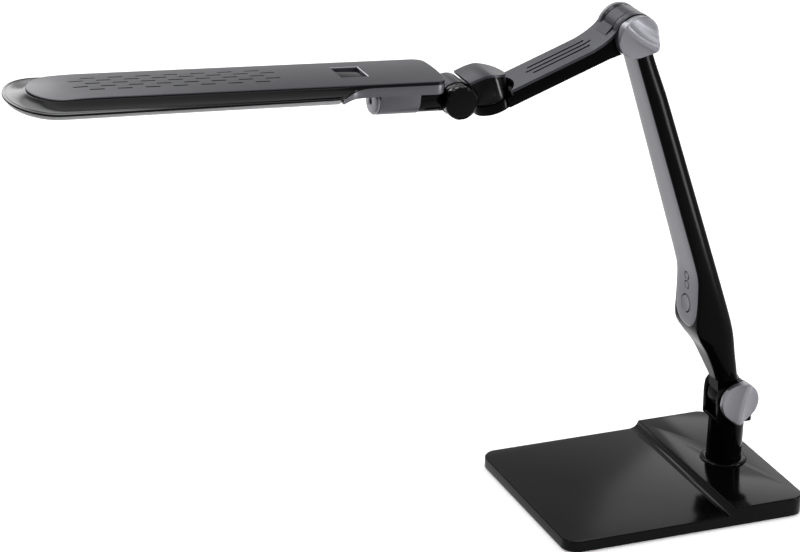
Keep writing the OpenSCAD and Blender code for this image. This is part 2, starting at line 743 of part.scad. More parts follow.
module upper_shell() {
    color(black) upper_frame() difference() {
        union() {
            difference() {
                union() {
                    intersection() {
                        side_plate(2 * upper_half) upper_side(upper_cover_t);
                        translate([-arm_end - 12, -30, -30]) cube([arm_end + 12 - 2, 60, 60]);
                    }
                    translate([-upper_l, 0, -upper_under]) cylinder(r = upper_half, h = tongue_top + upper_under);
                }
                elbow_clear();
                drum_clear(wall_r);
                for (side = [-1, 1]) translate([-upper_l, side > 0 ? 0 : -30, tongue_top]) cube([12, 30, 20]);
            }
            rod_y(cap_r - 2.2, -tongue_half, tongue_half);
            knuckle_neck(0);
        }
        rod_y(bolt_r + run, -30, 30);
        translate([-upper_l, 0, -upper_under - 1]) cylinder(r = bolt_r + run, h = 20);
        translate([-upper_l, 0, -upper_under - 1]) cylinder(r = bolt_head_r + seat, h = 1 + bolt_head_h + seat);
        upper_screw_places() cylinder(r = 1.2, h = 30, center = true);
    }
}

groove_w = 1.9;
groove_mid = (arm_end + skirt + 8) / 2 - 4;
module upper_cover() {
    color(satin) upper_frame() difference() {
        union() {
            difference() {
                side_plate(2 * upper_half) difference() {
                    upper_side(0);
                    upper_side(upper_cover_t - seat);
                }
                elbow_clear();
                drum_clear(wall_r);
            }
            intersection() {
                difference() {
                    rod_y(cap_r - 0.3, -tongue_half, tongue_half);
                    rod_y(cap_r - 2.1, -tongue_half - 1, tongue_half + 1);
                }
                translate([-30, -30, -4]) cube([60, 60, 60]);
            }
            side_plate(2 * tongue_half) polygon([
                [-skirt - 3, upper_top], [-skirt - 3, upper_top + 3.0], [-cap_r + 4, upper_top + 7],
                [-cap_r + 3, upper_top + 3]
            ]);
        }
        rod_y(cap_r - 2.1, -30, 30);
        knuckle_neck(seat);
        intersection() {
            side_plate(2 * upper_half + 2) upper_side(upper_cover_t - seat);
            translate([-upper_l, -30, -40]) cube([upper_l - skirt + 2, 60, 80]);
        }
        for (i = [0 : groove_n - 1])
            let (off = i - (groove_n - 1) / 2, l = groove_l - 7 * abs(off))
            translate([-groove_mid - l / 2, off * groove_pitch - groove_w / 2, upper_top - 0.8])
                cube([l, groove_w, 3]);
    }
}

module upper_screw_places() {
    for (s = [skirt + 12, arm_end - 10]) translate([-s, 0, -upper_under]) children();
}
module upper_screws() {
    color(steel) upper_frame() upper_screw_places() {
        translate([0, 0, 0.4]) cylinder(r = 1.15, h = upper_under + upper_top - upper_cover_t - 1);
    }
}

// Wrist. Its swivel axis stands square on the arm's tongue

drum_floor = 0;
pivot_end = 9;
// Top of the wrist in side view, measured from the swivel axis towards the head
wrist_top_curve = curve([
    [-drum_r - 2, wrist_top - 11.5], [-drum_r + 3, wrist_top - 7.6], [-4.5, wrist_top - 3.6], [0, wrist_top - 1.4],
    [6, wrist_top - 0.2], [tilt_reach - 11, wrist_top]
], 4);
lip = tilt_reach - 10.4;          // front edge of the wrist's cap
wrist_half = upper_half - 0.6;
ear_y = [-hub_near - gap - 4.4, -hub_near - gap];     // the single ear beside the hub

module wrist_plan(r) {
    union() {
        circle(r);
        translate([-lip, -wrist_half]) square([lip, 2 * wrist_half]);
    }
}
module wrist_side(drop, floor_z) {
    polygon(concat(
        [for (p = wrist_top_curve) [-p[0], p[1] - drop]],
        [[-lip, wrist_top - drop], [-lip, floor_z], [drum_r + 2, floor_z]]
    ));
}
cap_t = 2;
module wrist_drum() {
    color(black) wrist_frame() difference() {
        union() {
            intersection() {
                translate([0, 0, drum_floor]) cylinder(r = drum_r, h = 40);
                side_plate(60) wrist_side(cap_t, -1);
            }
            intersection() {
                translate([0, 0, 4.9]) linear_extrude(40) wrist_plan(drum_r);
                side_plate(60) wrist_side(cap_t, 0);
            }
            translate([-tilt_reach, 0, tilt_rise]) rod_y(hub_r - 0.5, ear_y[0], ear_y[1]);
            translate([0, (ear_y[0] + ear_y[1]) / 2, 0]) side_plate(ear_y[1] - ear_y[0]) polygon([
                [-6, 5], [-tilt_reach + 4, tilt_rise - hub_r + 1.4], [-tilt_reach, tilt_rise + hub_r - 1],
                [-lip + 1, wrist_top - cap_t - 1], [-6, wrist_top - cap_t - 1]
            ]);
        }
        translate([-tilt_reach, 0, tilt_rise]) {
            rod_y(hub_r + 0.9, ear_y[1], 30);
            rod_y(hub_r + 0.9, -30, ear_y[0] - eps);
            rod_y(bolt_r + run, -30, 30);
        }
        translate([0, 0, -1]) cylinder(r = bolt_r + run, h = pivot_end + 2);
        translate([0, 0, pivot_end - 3]) cylinder(r = bolt_head_r + 1, h = 30);
    }
}
module wrist_cap() {
    color(satin) wrist_frame() difference() {
        intersection() {
            linear_extrude(60) wrist_plan(drum_r + 0.6);
            side_plate(60) difference() {
                wrist_side(0, 0);
                wrist_side(cap_t - seat, -1);
                translate([-60, -2]) square([120, wrist_top - 14.6]);
            }
        }
        translate([-tilt_reach, 0, tilt_rise]) rod_y(hub_r + 0.9, -30, 30);
    }
}
module wrist_pivot() {
    color(steel) wrist_frame() {
        translate([0, 0, -upper_under + bolt_head_h]) cylinder(r = bolt_r, h = upper_under - bolt_head_h + pivot_end);
        translate([0, 0, -upper_under]) cylinder(r = bolt_head_r, h = bolt_head_h + eps, $fn = 6);
        translate([0, 0, tongue_top]) cylinder(r = drum_r - 1, h = drum_floor - tongue_top - seat);
    }
}
module wrist_nut() {
    color(steel) wrist_frame() translate([0, 0, pivot_end - 3 + seat]) difference() {
        cylinder(r = bolt_head_r, h = 3 - seat + 0.6, $fn = 6);
        translate([0, 0, -1]) cylinder(r = bolt_r, h = 8);
    }
}
module tilt_washer() {
    color(steel) tilt_frame() rotate([-90, 0, 0]) difference() {
        translate([0, 0, ear_y[0] - gap]) cylinder(r = hub_r - 1.5, h = gap - 0.05);
        cylinder(r = bolt_r + run, h = 60, center = true);
    }
}
module tilt_bolt() {
    color(steel) tilt_frame() {
        rod_y(bolt_r, ear_y[0] - 5.4, hub_far - bolt_head_h - seat);
        translate([0, hub_far - bolt_head_h - seat - eps, 0]) rotate([-90, 0, 0])
            cylinder(r = bolt_head_r, h = bolt_head_h, $fn = 6);
    }
}
module tilt_knob() {
    y1 = ear_y[0] - 0.4;
    thick = 7;
    color(black) tilt_frame() difference() {
        union() {
            rod_y(hub_r - 0.4, y1 - thick + 1.4, y1);
            translate([0, y1 - thick, 0]) rotate([-90, 0, 0]) cylinder(r1 = hub_r - 2.2, r2 = hub_r - 0.4, h = 1.4 + eps);
        }
        rod_y(bolt_r + run, y1 - thick + 1.6, y1 + 1);
        for (a = [0 : 30 : 330]) rotate([0, a, 0]) translate([hub_r + 0.6, 0, 0]) rod_y(1.3, y1 - thick - 1, y1 - 1.6);
    }
}

// Tilt hub with the bar that carries the head

neck_s = [neck_near, neck_near + neck_l];      // where the sleeve lies along the bar
module tilt_hub() {
    color(black) head_frame() difference() {
        union() {
            rod_y(hub_r - 1.2, -hub_near, hub_far);
            intersection() {
                rod_y(hub_r, -hub_near, hub_far);
                translate([-40, -40, -40]) cube([80, 80, 42]);
            }
            intersection() {
                rod_x(bar_r, 0, neck_s[0] - gap);
                translate([-neck_s[0], -hub_near, -20]) cube([neck_s[0], hub_near + hub_far, 40]);
            }
            rod_x(bar_r, hub_r + gap, neck_s[0] - gap);
            rod_x(spigot_r, hub_r, neck_s[1]);
        }
        rod_y(bolt_r + run, -30, 30);
        rod_y(bolt_head_r + gap, hub_far - bolt_head_h - 2 * seat, 30);
        rod_x(1.6, neck_s[1] - 12, neck_s[1] + 1);
    }
}
module hub_cover() {
    color(satin) head_frame() difference() {
        intersection() {
            rod_y(hub_r, -hub_near, hub_far);
            translate([-40, -40, 2 + seat]) cube([80, 80, 42]);
        }
        rod_y(hub_r - 1.2 + seat, -30, 30);
        rod_x(bar_r + seat, 0, 40);
    }
}
module roll_cap() {
    color(silver) head_frame() difference() {
        union() {
            rod_x(bar_r + 0.4, neck_s[1] + gap, neck_s[1] + gap + 1.6);
            rod_x(bar_r - 1, neck_s[1], neck_s[1] + 3.4);
            rod_x(1.55, neck_s[1] - 10, neck_s[1] + 1);
        }
        rod_x(3, neck_s[1] + 2.2, neck_s[1] + 6);
    }
}

// Head. In its own frame it runs towards -X and the bar's axis is the line z = 0

head_rear = 16.4;
rim_tip = head_rear + head_l;
cover_tip = rim_tip - rim_reach;
cover_t = 0.8;
roof = cover_z - cover_t;              // top of the dark housing, under the cover
ceiling = roof - 1.8;                  // inside of the housing's roof
rim_edge = cover_z - rim_fall;         // top of the rim's outer edge
rim_low = [rim_edge - rim_lip, rim_edge - rim_lip + 0.6];       // its lower edge at the nose and at the rear
roof_fall = tip_drop - 1.1;            // fall of the roof under the cover's tip
diffuser_z = rim_low[0] - 3.4;
neck_z = cover_z - 9.5;
crown_r = (cover_half * cover_half + crown * crown) / (2 * crown);

module crowned(z_edge) {
    front_plate(-rim_tip - 5, 5) intersection() {
        translate([0, z_edge + crown - crown_r]) circle(crown_r, $fn = 180);
        translate([-cover_half - 1, z_edge - 20]) square([2 * cover_half + 2, 40]);
    }
}
function vent_rows() = [-2, -1, 0, 1, 2];
vent_first = cover_tip - vent_start;
module vents(w, z0) {
    for (row = vent_rows())
        let (long = abs(row) == 1, n = long ? vent_n : vent_n - 1, start = vent_first - (long ? 0 : vent_pitch / 2))
        for (i = [0 : n - 1])
            translate([-start + i * vent_pitch, row * vent_gap - w / 2, z0]) cube([vent_l, w, 30]);
}
window_s = [window_near, window_near + window_l];
module window_box(grow, z0, z1) {
    translate([-window_s[1] - grow, -window_half - grow, z0])
        cube([window_s[1] - window_s[0] + 2 * grow, 2 * (window_half + grow), z1 - z0]);
}

// The roof's height at s: it falls under the cover's tip
function roof_at(s) = roof - roof_fall * pow(max(0, (s - cover_tip + tip_fall) / tip_fall), 2);
// Side view of the cover, whose top falls towards the tip
module cover_side() {
    top = cover_z + crown;
    steps = [for (i = [0 : 7]) cover_tip - tip_fall * (1 - i / 7)];
    polygon(flip(concat(
        [[head_rear - 1, roof], [head_rear - 1, top + 1], [cover_tip - tip_fall, top + 1]],
        [for (q = steps) [q, top + 0.02 - tip_drop * pow((q - cover_tip + tip_fall) / tip_fall, 2)]],
        [[cover_tip + 2, top - tip_drop * 1.1], [cover_tip + 2, roof_at(cover_tip) + 0.04]],
        [for (i = [7 : -1 : 1]) [steps[i], roof_at(steps[i]) + 0.04]],
        [[cover_tip - tip_fall, roof]]
    )));
}
module head_cover() {
    color(satin) head_frame() difference() {
        intersection() {
            translate([0, 0, roof - 3]) linear_extrude(20)
                polygon(bar_plan(head_rear, cover_tip, cover_half, 8, cover_round, 1.9));
            crowned(cover_z);
            side_plate(3 * cover_half) cover_side();
        }
        vents(vent_w, roof - 1);
        window_box(0, roof - 1, cover_z + 10);
        front_plate(-cover_tip + tip_fall, -head_rear - 6) intersection() {
            translate([0, cover_z + crown - 1.6 - crown_r]) circle(crown_r, $fn = 180);
            translate([-cover_half + 4, roof - 1]) square([2 * cover_half - 8, 20]);
        }
    }
}

// Rim: a wide flange that dishes outwards from under the cover's edge, all round its nose

// Outline of the rim, its edge moved in by inset. It draws in under the cover over the neck
rim_edge_line = curve([
    [rim_tip - rim_round, rim_half], [rim_tip - rim_round - 28, rim_half - 0.7],
    [rim_tip - rim_round - 60, rim_rear + 2.5], [rim_tip - rim_round - 118, rim_rear + 1.2],
    [cut_s + 14, rim_rear + 0.1], [cut_s + 5, rim_rear - 0.3], [cut_s + 0.3, rim_rear - 2.6],
    [cut_s - 4, rim_rear - 5.6], [cut_s - 8.5, cover_half + 1.6], [cut_s - 14, cover_half + 0.5],
    [cut_s - 21, cover_half + 0.2]
], 3);
module rim_outline(inset) {
    side = [for (p = rim_edge_line) [-p[0], p[1] - inset]];
    polygon(concat(
        nose(rim_tip - inset, rim_half - inset, rim_round - inset, 16, 2),
        [for (i = [1 : len(side) - 1]) [side[i][0], -side[i][1]]],
        arc([-head_rear - 8, -cover_half + 8 + inset - 0.2], 8, -90, 0),
        arc([-head_rear - 8, cover_half - 8 - inset + 0.2], 8, 0, 90),
        [for (i = [len(side) - 1 : -1 : 1]) side[i]]
    ));
}
// How far an ellipse round the nose's centre reaches in the direction a
function reach_to(rx, ry, a) = sqrt(pow(rx * cos(a), 2) + pow(ry * sin(a), 2));
// Everything above the dished top, lowered by drop: one cut for each direction round the nose
module above_dish(drop) {
    centre = rim_tip - rim_round;
    top = cover_z + 20;
    translate([-rim_tip - 5, -rim_half - 5, roof - drop]) cube([rim_tip + 5, 2 * rim_half + 10, 20]);
    for (a = [-90 : 22.5 : 90]) {
        inner = reach_to(cover_round, cover_half, a) - (centre - cover_tip + cover_round) * cos(a) + 0.3;
        outer = reach_to(rim_round, rim_half, a);
        start = abs(a) < 1 ? roof_at(cover_tip) : roof;
        translate([-centre, 0, 0]) rotate([0, 0, a]) side_plate(3 * rim_tip) polygon(concat(
            abs(a) < 1
                ? concat([[centre - cover_tip + tip_fall, top]],
                         [for (i = [0 : 7]) let (q = cover_tip - tip_fall * (1 - i / 7)) [centre - q, roof_at(q) - drop]])
                : [[-inner, top], [-inner, roof - drop]],
            [for (i = [1 : 4]) [-inner - (outer - inner) * i / 4, rim_edge + (start - rim_edge) * pow(1 - i / 4, 2) - drop]],
            [[-outer - 9, rim_edge - drop], [-outer - 9, top]]
        ));
    }
}
// Side view of the rim's lower edge, which rises over the neck
cut_curve = curve([
    [cut_s + 6, rim_low[1]], [cut_s + 1, rim_low[1] + 0.3], [cut_s - 5, cover_z - 5.6], [cut_s - 11, cover_z - 3.9],
    [cut_s - 19, cover_z - 2.8], [cut_s - 30, cover_z - 2.6]
], 4);
module rim_side() {
    polygon(flip(concat(
        [[head_rear, cover_z + 2], [rim_tip + 1, cover_z + 2], [rim_tip + 1, rim_low[0]], [rim_tip - 130, rim_low[0]]],
        cut_curve,
        [[head_rear, cover_z - 2.6]]
    )));
}
module head_rim() {
    color(black) head_frame() difference() {
        intersection() {
            linear_extrude(40) rim_outline(0);
            side_plate(4 * rim_half) rim_side();
        }
        above_dish(0);
        difference() {
            intersection() {
                translate([0, 0, rim_low[0] - 5]) linear_extrude(30) rim_outline(rim_wall);
                translate([-rim_tip, -rim_half, 0]) cube([rim_tip - cut_s - 3, 2 * rim_half, 40]);
            }
            above_dish(1.8);
        }
        vents(vent_w + 0.8, ceiling - 1);
        window_box(seat, roof - 1.2, 40);
    }
}
module head_window() {
    color([0.02, 0.02, 0.03]) head_frame() window_box(0, roof - 1.1, roof + 0.5);
}
module heat_sink() {
    color(steel) head_frame() difference() {
        union() {
            translate([-rim_tip + 24, -cover_half + 1, ceiling - 4.4])
                cube([rim_tip - 24 - cut_s - 8, 2 * (cover_half - 1), 1.4]);
            for (i = [-5 : 5]) translate([-cover_tip + tip_fall, i * 4 - 0.4, ceiling - 3.1])
                cube([cover_tip - tip_fall - cut_s - 14, 0.8, 3]);
        }
    }
}
module led_board() {
    color("white") head_frame() translate([-rim_tip + 26, -2 * led_row, ceiling - 4.4 - 1.2])
        cube([rim_tip - 26 - cut_s - 12, 4 * led_row, 1.2]);
}
module led_diodes() {
    pitch = (rim_tip - 26 - cut_s - 12) / led_n;
    color("khaki") head_frame() for (i = [0 : led_n - 1], y = [-led_row, led_row])
        translate([-rim_tip + 26 + (i + 0.5) * pitch - 2, y - 2, ceiling - 5.6 - 0.8]) cube([4, 4, 0.8]);
}
module diffuser() {
    inset = rim_wall + 0.2;
    color("ghostwhite") head_frame() difference() {
        intersection() {
            translate([0, 0, diffuser_z]) linear_extrude(rim_low[0] - seat - diffuser_z) rim_outline(inset);
            translate([-rim_tip, -rim_half, 0]) cube([rim_tip - cut_s - 3.4, 2 * rim_half, 40]);
        }
        intersection() {
            translate([0, 0, diffuser_z + 1.4]) linear_extrude(20) rim_outline(inset + 1.8);
            translate([-rim_tip, -rim_half, 0]) cube([rim_tip - cut_s - 5.2, 2 * rim_half, 40]);
        }
    }
}

// Side view of the neck: it fills the rim's cut-away rear and meets the diffuser's end
module neck_side() {
    low = [[cut_s + 2.6, diffuser_z + 0.4], [cut_s - 2, diffuser_z + 0.9], [cut_s - 8, neck_z - 0.2], [cut_s - 16, neck_z]];
    polygon(flip(concat(
        [[head_rear + 0.4, cover_z - 2.6 - seat]],
        [for (i = [len(cut_curve) - 1 : -1 : 0]) if (cut_curve[i][0] < cut_s + 2.6) [cut_curve[i][0], cut_curve[i][1] - seat]],
        [[cut_s + 2.6, rim_low[1] - seat + 0.1]],
        curve(low, 4),
        [[head_rear + 0.4, neck_z]]
    )));
}
module head_neck() {
    color(satin) head_frame() difference() {
        union() {
            intersection() {
                linear_extrude(40) rim_outline(0.6);
                side_plate(4 * rim_half) neck_side();
                translate([-rim_tip, -rim_half, 0]) cube([rim_tip - head_rear - 0.3, 2 * rim_half, 40]);
            }
            rod_x(bar_r + 0.5, neck_s[0], neck_s[1]);
            translate([-neck_s[1], -bar_r - 0.5, 0]) cube([neck_s[1] - neck_s[0], 2 * bar_r + 1, neck_z + 1]);
        }
        rod_x(spigot_r + run, neck_s[0] - 2, neck_s[1] + 2);
        head_screw_places() cylinder(r = 1.2, h = 40);
        head_screw_places() cylinder(r = 2.6, h = neck_z + 1.4);
    }
}
module head_screw_places() {
    for (s = [neck_s[0] - 4, neck_s[1] + 8], y = [-screw_row, screw_row]) translate([-s, y, 0]) children();
}
module head_screws() {
    color(steel) head_frame() head_screw_places() {
        translate([0, 0, neck_z + 0.2]) cylinder(r = 2.5, h = 1.2);
        translate([0, 0, neck_z + 1.4 - eps]) cylinder(r = 1.15, h = cover_z - 2.8 - neck_z - 1.4);
    }
}

base_shell();
base_ballast();
base_plate();
base_pad();
base_screws();
power_inlet();
swivel_collar();
post();
post_nut();
post_washers();
post_bolt();
post_cap();
post_knob();
lower_shell();
lower_facia();
lower_screws();
key_board();
key_switches();
elbow_cap_far();
elbow_cap_near();
elbow_bolt();
elbow_washers();
power_key();
brighter_key();
dimmer_key();
elbow_knob();
upper_shell();
upper_cover();
upper_screws();
wrist_pivot();
wrist_drum();
wrist_cap();
wrist_nut();
tilt_bolt();
tilt_washer();
tilt_knob();
tilt_hub();
hub_cover();
roll_cap();
head_cover();
head_rim();
head_window();
heat_sink();
led_board();
led_diodes();
diffuser();
head_neck();
head_screws();
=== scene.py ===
import json
import math

import bmesh
import bpy
import numpy as np
from mathutils import Matrix, Vector


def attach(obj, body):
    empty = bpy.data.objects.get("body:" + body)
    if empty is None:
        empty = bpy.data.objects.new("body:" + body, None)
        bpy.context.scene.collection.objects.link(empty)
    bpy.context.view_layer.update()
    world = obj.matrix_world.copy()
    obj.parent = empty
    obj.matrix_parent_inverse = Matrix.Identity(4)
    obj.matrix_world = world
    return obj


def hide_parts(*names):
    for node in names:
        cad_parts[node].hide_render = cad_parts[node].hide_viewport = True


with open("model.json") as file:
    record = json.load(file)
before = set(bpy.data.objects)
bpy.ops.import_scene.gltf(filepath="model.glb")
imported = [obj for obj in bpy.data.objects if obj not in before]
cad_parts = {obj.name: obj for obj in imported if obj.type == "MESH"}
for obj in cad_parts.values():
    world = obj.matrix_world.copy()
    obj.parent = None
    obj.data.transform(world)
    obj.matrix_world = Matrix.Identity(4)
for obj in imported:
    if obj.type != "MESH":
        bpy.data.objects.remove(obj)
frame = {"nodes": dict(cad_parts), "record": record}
NODES = frame["nodes"]
BODY_OF = {n: b for b, ns in frame["record"]["behaviour"]["bodies"].items() for n in ns}


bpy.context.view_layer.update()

# Millimetres and degrees, as in the CAD
HINGE_Z, LOWER_L, LOWER_LEAN = 71.0, 322.5, 19.5
UPPER_L, UPPER_DROP, HEAD_PITCH = 111.0, 20.0, 3.8
TILT_REACH, TILT_RISE = 26.2, 12.6


def turned_y(degrees):
    return Matrix.Rotation(math.radians(degrees), 4, "Y")


def moved(x, y, z):
    return Matrix.Translation((x, y, z))


LOWER = moved(0, 0, HINGE_Z) @ turned_y(-LOWER_LEAN)
ELBOW = LOWER @ moved(0, 0, LOWER_L) @ turned_y(LOWER_LEAN)
UPPER = ELBOW @ turned_y(-UPPER_DROP)
WRIST = UPPER @ moved(-UPPER_L, 0, 0)
TILT = WRIST @ moved(-TILT_REACH, 0, TILT_RISE) @ turned_y(UPPER_DROP)
HEAD = TILT @ turned_y(HEAD_PITCH)

# Camera: the photograph's place, angle and frame. The focal length and the principal point are in pixels
CAMERA_AT, CAMERA_LOOK = (-0.99517, -1.68832, 0.98695), (0.29603, 0.86321, -0.40895)
FRAME_W, FRAME_H, FOCAL, CENTRE_PX = 800.0, 552.0, 2760.51, (217.40, 326.80)
cam = bpy.data.cameras.new("camera")
cam_obj = bpy.data.objects.new("camera", cam)
bpy.context.scene.collection.objects.link(cam_obj)
view_dir = Vector(CAMERA_LOOK).normalized()
right = view_dir.cross(Vector((0, 0, 1))).normalized()
upward = right.cross(view_dir)
turn = Matrix((right, upward, -view_dir)).transposed().to_4x4()
cam_obj.matrix_world = Matrix.Translation(CAMERA_AT) @ turn
cam.sensor_width = 36.0
cam.lens = cam.sensor_width * FOCAL / FRAME_W
cam.shift_x = (FRAME_W / 2 - CENTRE_PX[0]) / FRAME_W
cam.shift_y = (CENTRE_PX[1] - FRAME_H / 2) / FRAME_W
cam.clip_start, cam.clip_end = 0.05, 30
bpy.context.scene.camera = cam_obj
bpy.context.scene.view_settings.view_transform = "Standard"


# Materials
def srgb(r, g, b):
    """A linear colour from 0 to 255 values."""
    def lin(c):
        c /= 255.0
        return c / 12.92 if c <= 0.04045 else ((c + 0.055) / 1.055) ** 2.4
    return (lin(r), lin(g), lin(b), 1.0)


def material(name, tint, rough, metal=0.0, coat=0.0, spread=0.04, scale=900.0,
             bump=0.02, rough_spread=0.03, stretch=(1, 1, 1), specular=0.5):
    """A moulded, painted or metal surface: fine grain in colour, roughness and height."""
    mat = bpy.data.materials.new(name)
    mat.use_nodes = True
    nt = mat.node_tree
    bsdf = nt.nodes["Principled BSDF"]
    bsdf.inputs["Metallic"].default_value = metal
    bsdf.inputs["IOR"].default_value = 1.5
    bsdf.inputs["Specular IOR Level"].default_value = specular
    bsdf.inputs["Coat Weight"].default_value = coat
    bsdf.inputs["Coat Roughness"].default_value = 0.05
    coord = nt.nodes.new("ShaderNodeTexCoord")
    mapping = nt.nodes.new("ShaderNodeMapping")
    mapping.inputs["Scale"].default_value = stretch
    nt.links.new(coord.outputs["Object"], mapping.inputs["Vector"])
    fine = nt.nodes.new("ShaderNodeTexNoise")
    fine.inputs["Scale"].default_value = scale
    fine.inputs["Detail"].default_value = 3
    broad = nt.nodes.new("ShaderNodeTexNoise")
    broad.inputs["Scale"].default_value = 35
    broad.inputs["Detail"].default_value = 2
    for n in (fine, broad):
        nt.links.new(mapping.outputs["Vector"], n.inputs["Vector"])
    ramp = nt.nodes.new("ShaderNodeValToRGB")
    ramp.color_ramp.elements[0].position, ramp.color_ramp.elements[1].position = 0.3, 0.7
    ramp.color_ramp.elements[0].color = tuple(c * (1 - spread) for c in tint[:3]) + (1,)
    ramp.color_ramp.elements[1].color = tuple(min(1, c * (1 + spread)) for c in tint[:3]) + (1,)
    nt.links.new(fine.outputs["Fac"], ramp.inputs["Fac"])
    nt.links.new(ramp.outputs["Color"], bsdf.inputs["Base Color"])
    span = nt.nodes.new("ShaderNodeMapRange")
    span.inputs["To Min"].default_value = max(0.0, rough - rough_spread)
    span.inputs["To Max"].default_value = rough + rough_spread
    nt.links.new(broad.outputs["Fac"], span.inputs["Value"])
    nt.links.new(span.outputs["Result"], bsdf.inputs["Roughness"])
    if bump:
        node = nt.nodes.new("ShaderNodeBump")
        node.inputs["Strength"].default_value = bump
        node.inputs["Distance"].default_value = 0.0002
        nt.links.new(fine.outputs["Fac"], node.inputs["Height"])
        nt.links.new(node.outputs["Normal"], bsdf.inputs["Normal"])
    return mat


BLACK = (0.0012, 0.0012, 0.0014, 1)
GLOSS = dict(scale=300, bump=0.004, rough_spread=0.02)
SATIN = dict(scale=2500, bump=0.03)
FINISHES = {
    "gloss_black": dict(tint=BLACK, rough=0.13, specular=0.07, **GLOSS),
    "soft_black": dict(tint=BLACK, rough=0.16, specular=0.025, **GLOSS),
    "rim_black": dict(tint=BLACK, rough=0.16, specular=0.07, **GLOSS),
    "matte_black": dict(tint=(0.004, 0.004, 0.0045, 1), rough=0.45, bump=0.15, specular=0.06),
    "satin_grey": dict(tint=srgb(46, 46, 51), rough=0.34, metal=0.3, spread=0.12, specular=0.1, **SATIN),
    "satin_mid": dict(tint=srgb(80, 80, 85), rough=0.36, metal=0.4, spread=0.1, specular=0.15, **SATIN),
    "satin_silver": dict(tint=srgb(98, 98, 103), rough=0.36, metal=0.5, spread=0.1, specular=0.2, **SATIN),
    "silver_knob": dict(tint=srgb(112, 112, 117), rough=0.3, metal=0.7, spread=0.08, specular=0.3, **SATIN),
    "dark_window": dict(tint=(0.001, 0.001, 0.0012, 1), rough=0.05, bump=0.002, specular=0.07),
    # diffuser: the frosted white tray is tinted down to mid grey, which is painted shade for its shaded side
    "diffuser": dict(tint=srgb(150, 150, 152), rough=0.45, scale=1500, spread=0.02, bump=0.05, specular=0.3),
    "pad_rubber": dict(tint=(0.008, 0.008, 0.008, 1), rough=0.85, scale=600, spread=0.2, bump=0.4,
                       specular=0.2),
    "steel": dict(tint=(0.42, 0.42, 0.43, 1), rough=0.3, metal=1.0, scale=400, spread=0.08, bump=0.05),
    "heat_sink_metal": dict(tint=(0.6, 0.6, 0.61, 1), rough=0.35, metal=1.0, scale=300, stretch=(0.05, 1, 1)),
    "circuit_board": dict(tint=srgb(225, 228, 224), rough=0.5, bump=0.05),
    "diode": dict(tint=srgb(235, 205, 90), rough=0.3, coat=0.5, bump=0.02),
}
MATS = {name: material(name, **finish) for name, finish in FINISHES.items()}

# Each CAD node takes the finish named by its slot in the record
SLOT_OF = {s["node"]: s["material_slot"] for s in frame["record"]["subparts"]}
for n, obj in NODES.items():
    obj.data.materials.clear()
    obj.data.materials.append(MATS[SLOT_OF[n]])


# Mesh helpers. Points are in millimetres in a joint's frame, and pieces in metres in the row's frame
def scratch(name, verts, faces, place):
    """A clean mesh object at that place."""
    mesh = bpy.data.meshes.new(name)
    mesh.from_pydata([tuple((place @ Vector(v)) * 0.001) for v in verts], [], faces)
    obj = bpy.data.objects.new(name, mesh)
    bpy.context.scene.collection.objects.link(obj)
    clean(obj)
    return obj


def piece(name, verts, faces, place, mat, body, stands_for=None, sharp=38):
    """A finished piece on a body. It stands for a CAD node where one is named."""
    finish_piece(scratch(name, verts, faces, place), mat, body, stands_for, sharp)


def clean(obj):
    """Join doubled points, drop empty faces and turn the rest outward."""
    bm = bmesh.new()
    bm.from_mesh(obj.data)
    bmesh.ops.remove_doubles(bm, verts=bm.verts, dist=2e-6)
    bmesh.ops.dissolve_degenerate(bm, dist=1e-7, edges=bm.edges)
    bmesh.ops.recalc_face_normals(bm, faces=bm.faces)
    bm.to_mesh(obj.data)
    bm.free()
    obj.data.update()


def finish_piece(obj, mat, body, stands_for=None, sharp=38):
    """Give a piece its finish and body, and sharp edges past that angle."""
    obj.data.materials.clear()
    obj.data.materials.append(MATS[mat])
    obj.data.shade_smooth()
    obj.data.set_sharp_from_angle(angle=math.radians(sharp))
    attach(obj, body)
    if stands_for:
        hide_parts(stands_for)


def apply_all(obj):
    """Turn a piece's modifiers into its mesh."""
    bpy.context.view_layer.update()
    graph = bpy.context.evaluated_depsgraph_get()
    mesh = bpy.data.meshes.new_from_object(obj.evaluated_get(graph))
    obj.modifiers.clear()
    old = obj.data
    obj.data = mesh
    bpy.data.meshes.remove(old)


def loft(rings, closed=True, capped=True):
    """Vertices and faces through rings of points, each ring as long as the next."""
    n = len(rings[0])
    verts = [p for r in rings for p in r]
    faces = []
    for i in range(len(rings) - 1):
        for k in range(n if closed else n - 1):
            a, b = i * n + k, i * n + (k + 1) % n
            faces.append((a, b, b + n, a + n))
    if capped and closed:
        faces.append(tuple(range(n)))
        faces.append(tuple((len(rings) - 1) * n + k for k in range(n)))
    return verts, faces


def lathe(profile, steps=72):
    """A solid turned about the Y axis from (radius, y) pairs."""
    rings = []
    for k in range(steps):
        a = 2 * math.pi * k / steps
        rings.append([(r * math.cos(a), y, r * math.sin(a)) for r, y in profile])
    m = len(profile)
    verts = [p for r in rings for p in r]
    faces = []
    for k in range(steps):
        nxt = (k + 1) % steps
        for i in range(m - 1):
            faces.append((k * m + i, k * m + i + 1, nxt * m + i + 1, nxt * m + i))
    if profile[0][0] > 0.01:
        faces.append(tuple(k * m for k in range(steps)))
    if profile[-1][0] > 0.01:
        faces.append(tuple(k * m + m - 1 for k in range(steps)))
    return verts, faces


def rounded_disc(r, y0, y1, edge, n=4):
    """Profile of a disc with rounded rims."""
    s = 1 if y1 > y0 else -1
    pts = [(0.0, y0)]
    for k in range(n + 1):
        a = math.pi / 2 * k / n
        pts.append((r - edge + edge * math.sin(a), y0 + s * edge * (1 - math.cos(a))))
    for k in range(n + 1):
        a = math.pi / 2 * k / n
        pts.append((r - edge + edge * math.cos(a), y1 - s * edge * (1 - math.sin(a))))
    return pts + [(0.0, y1)]


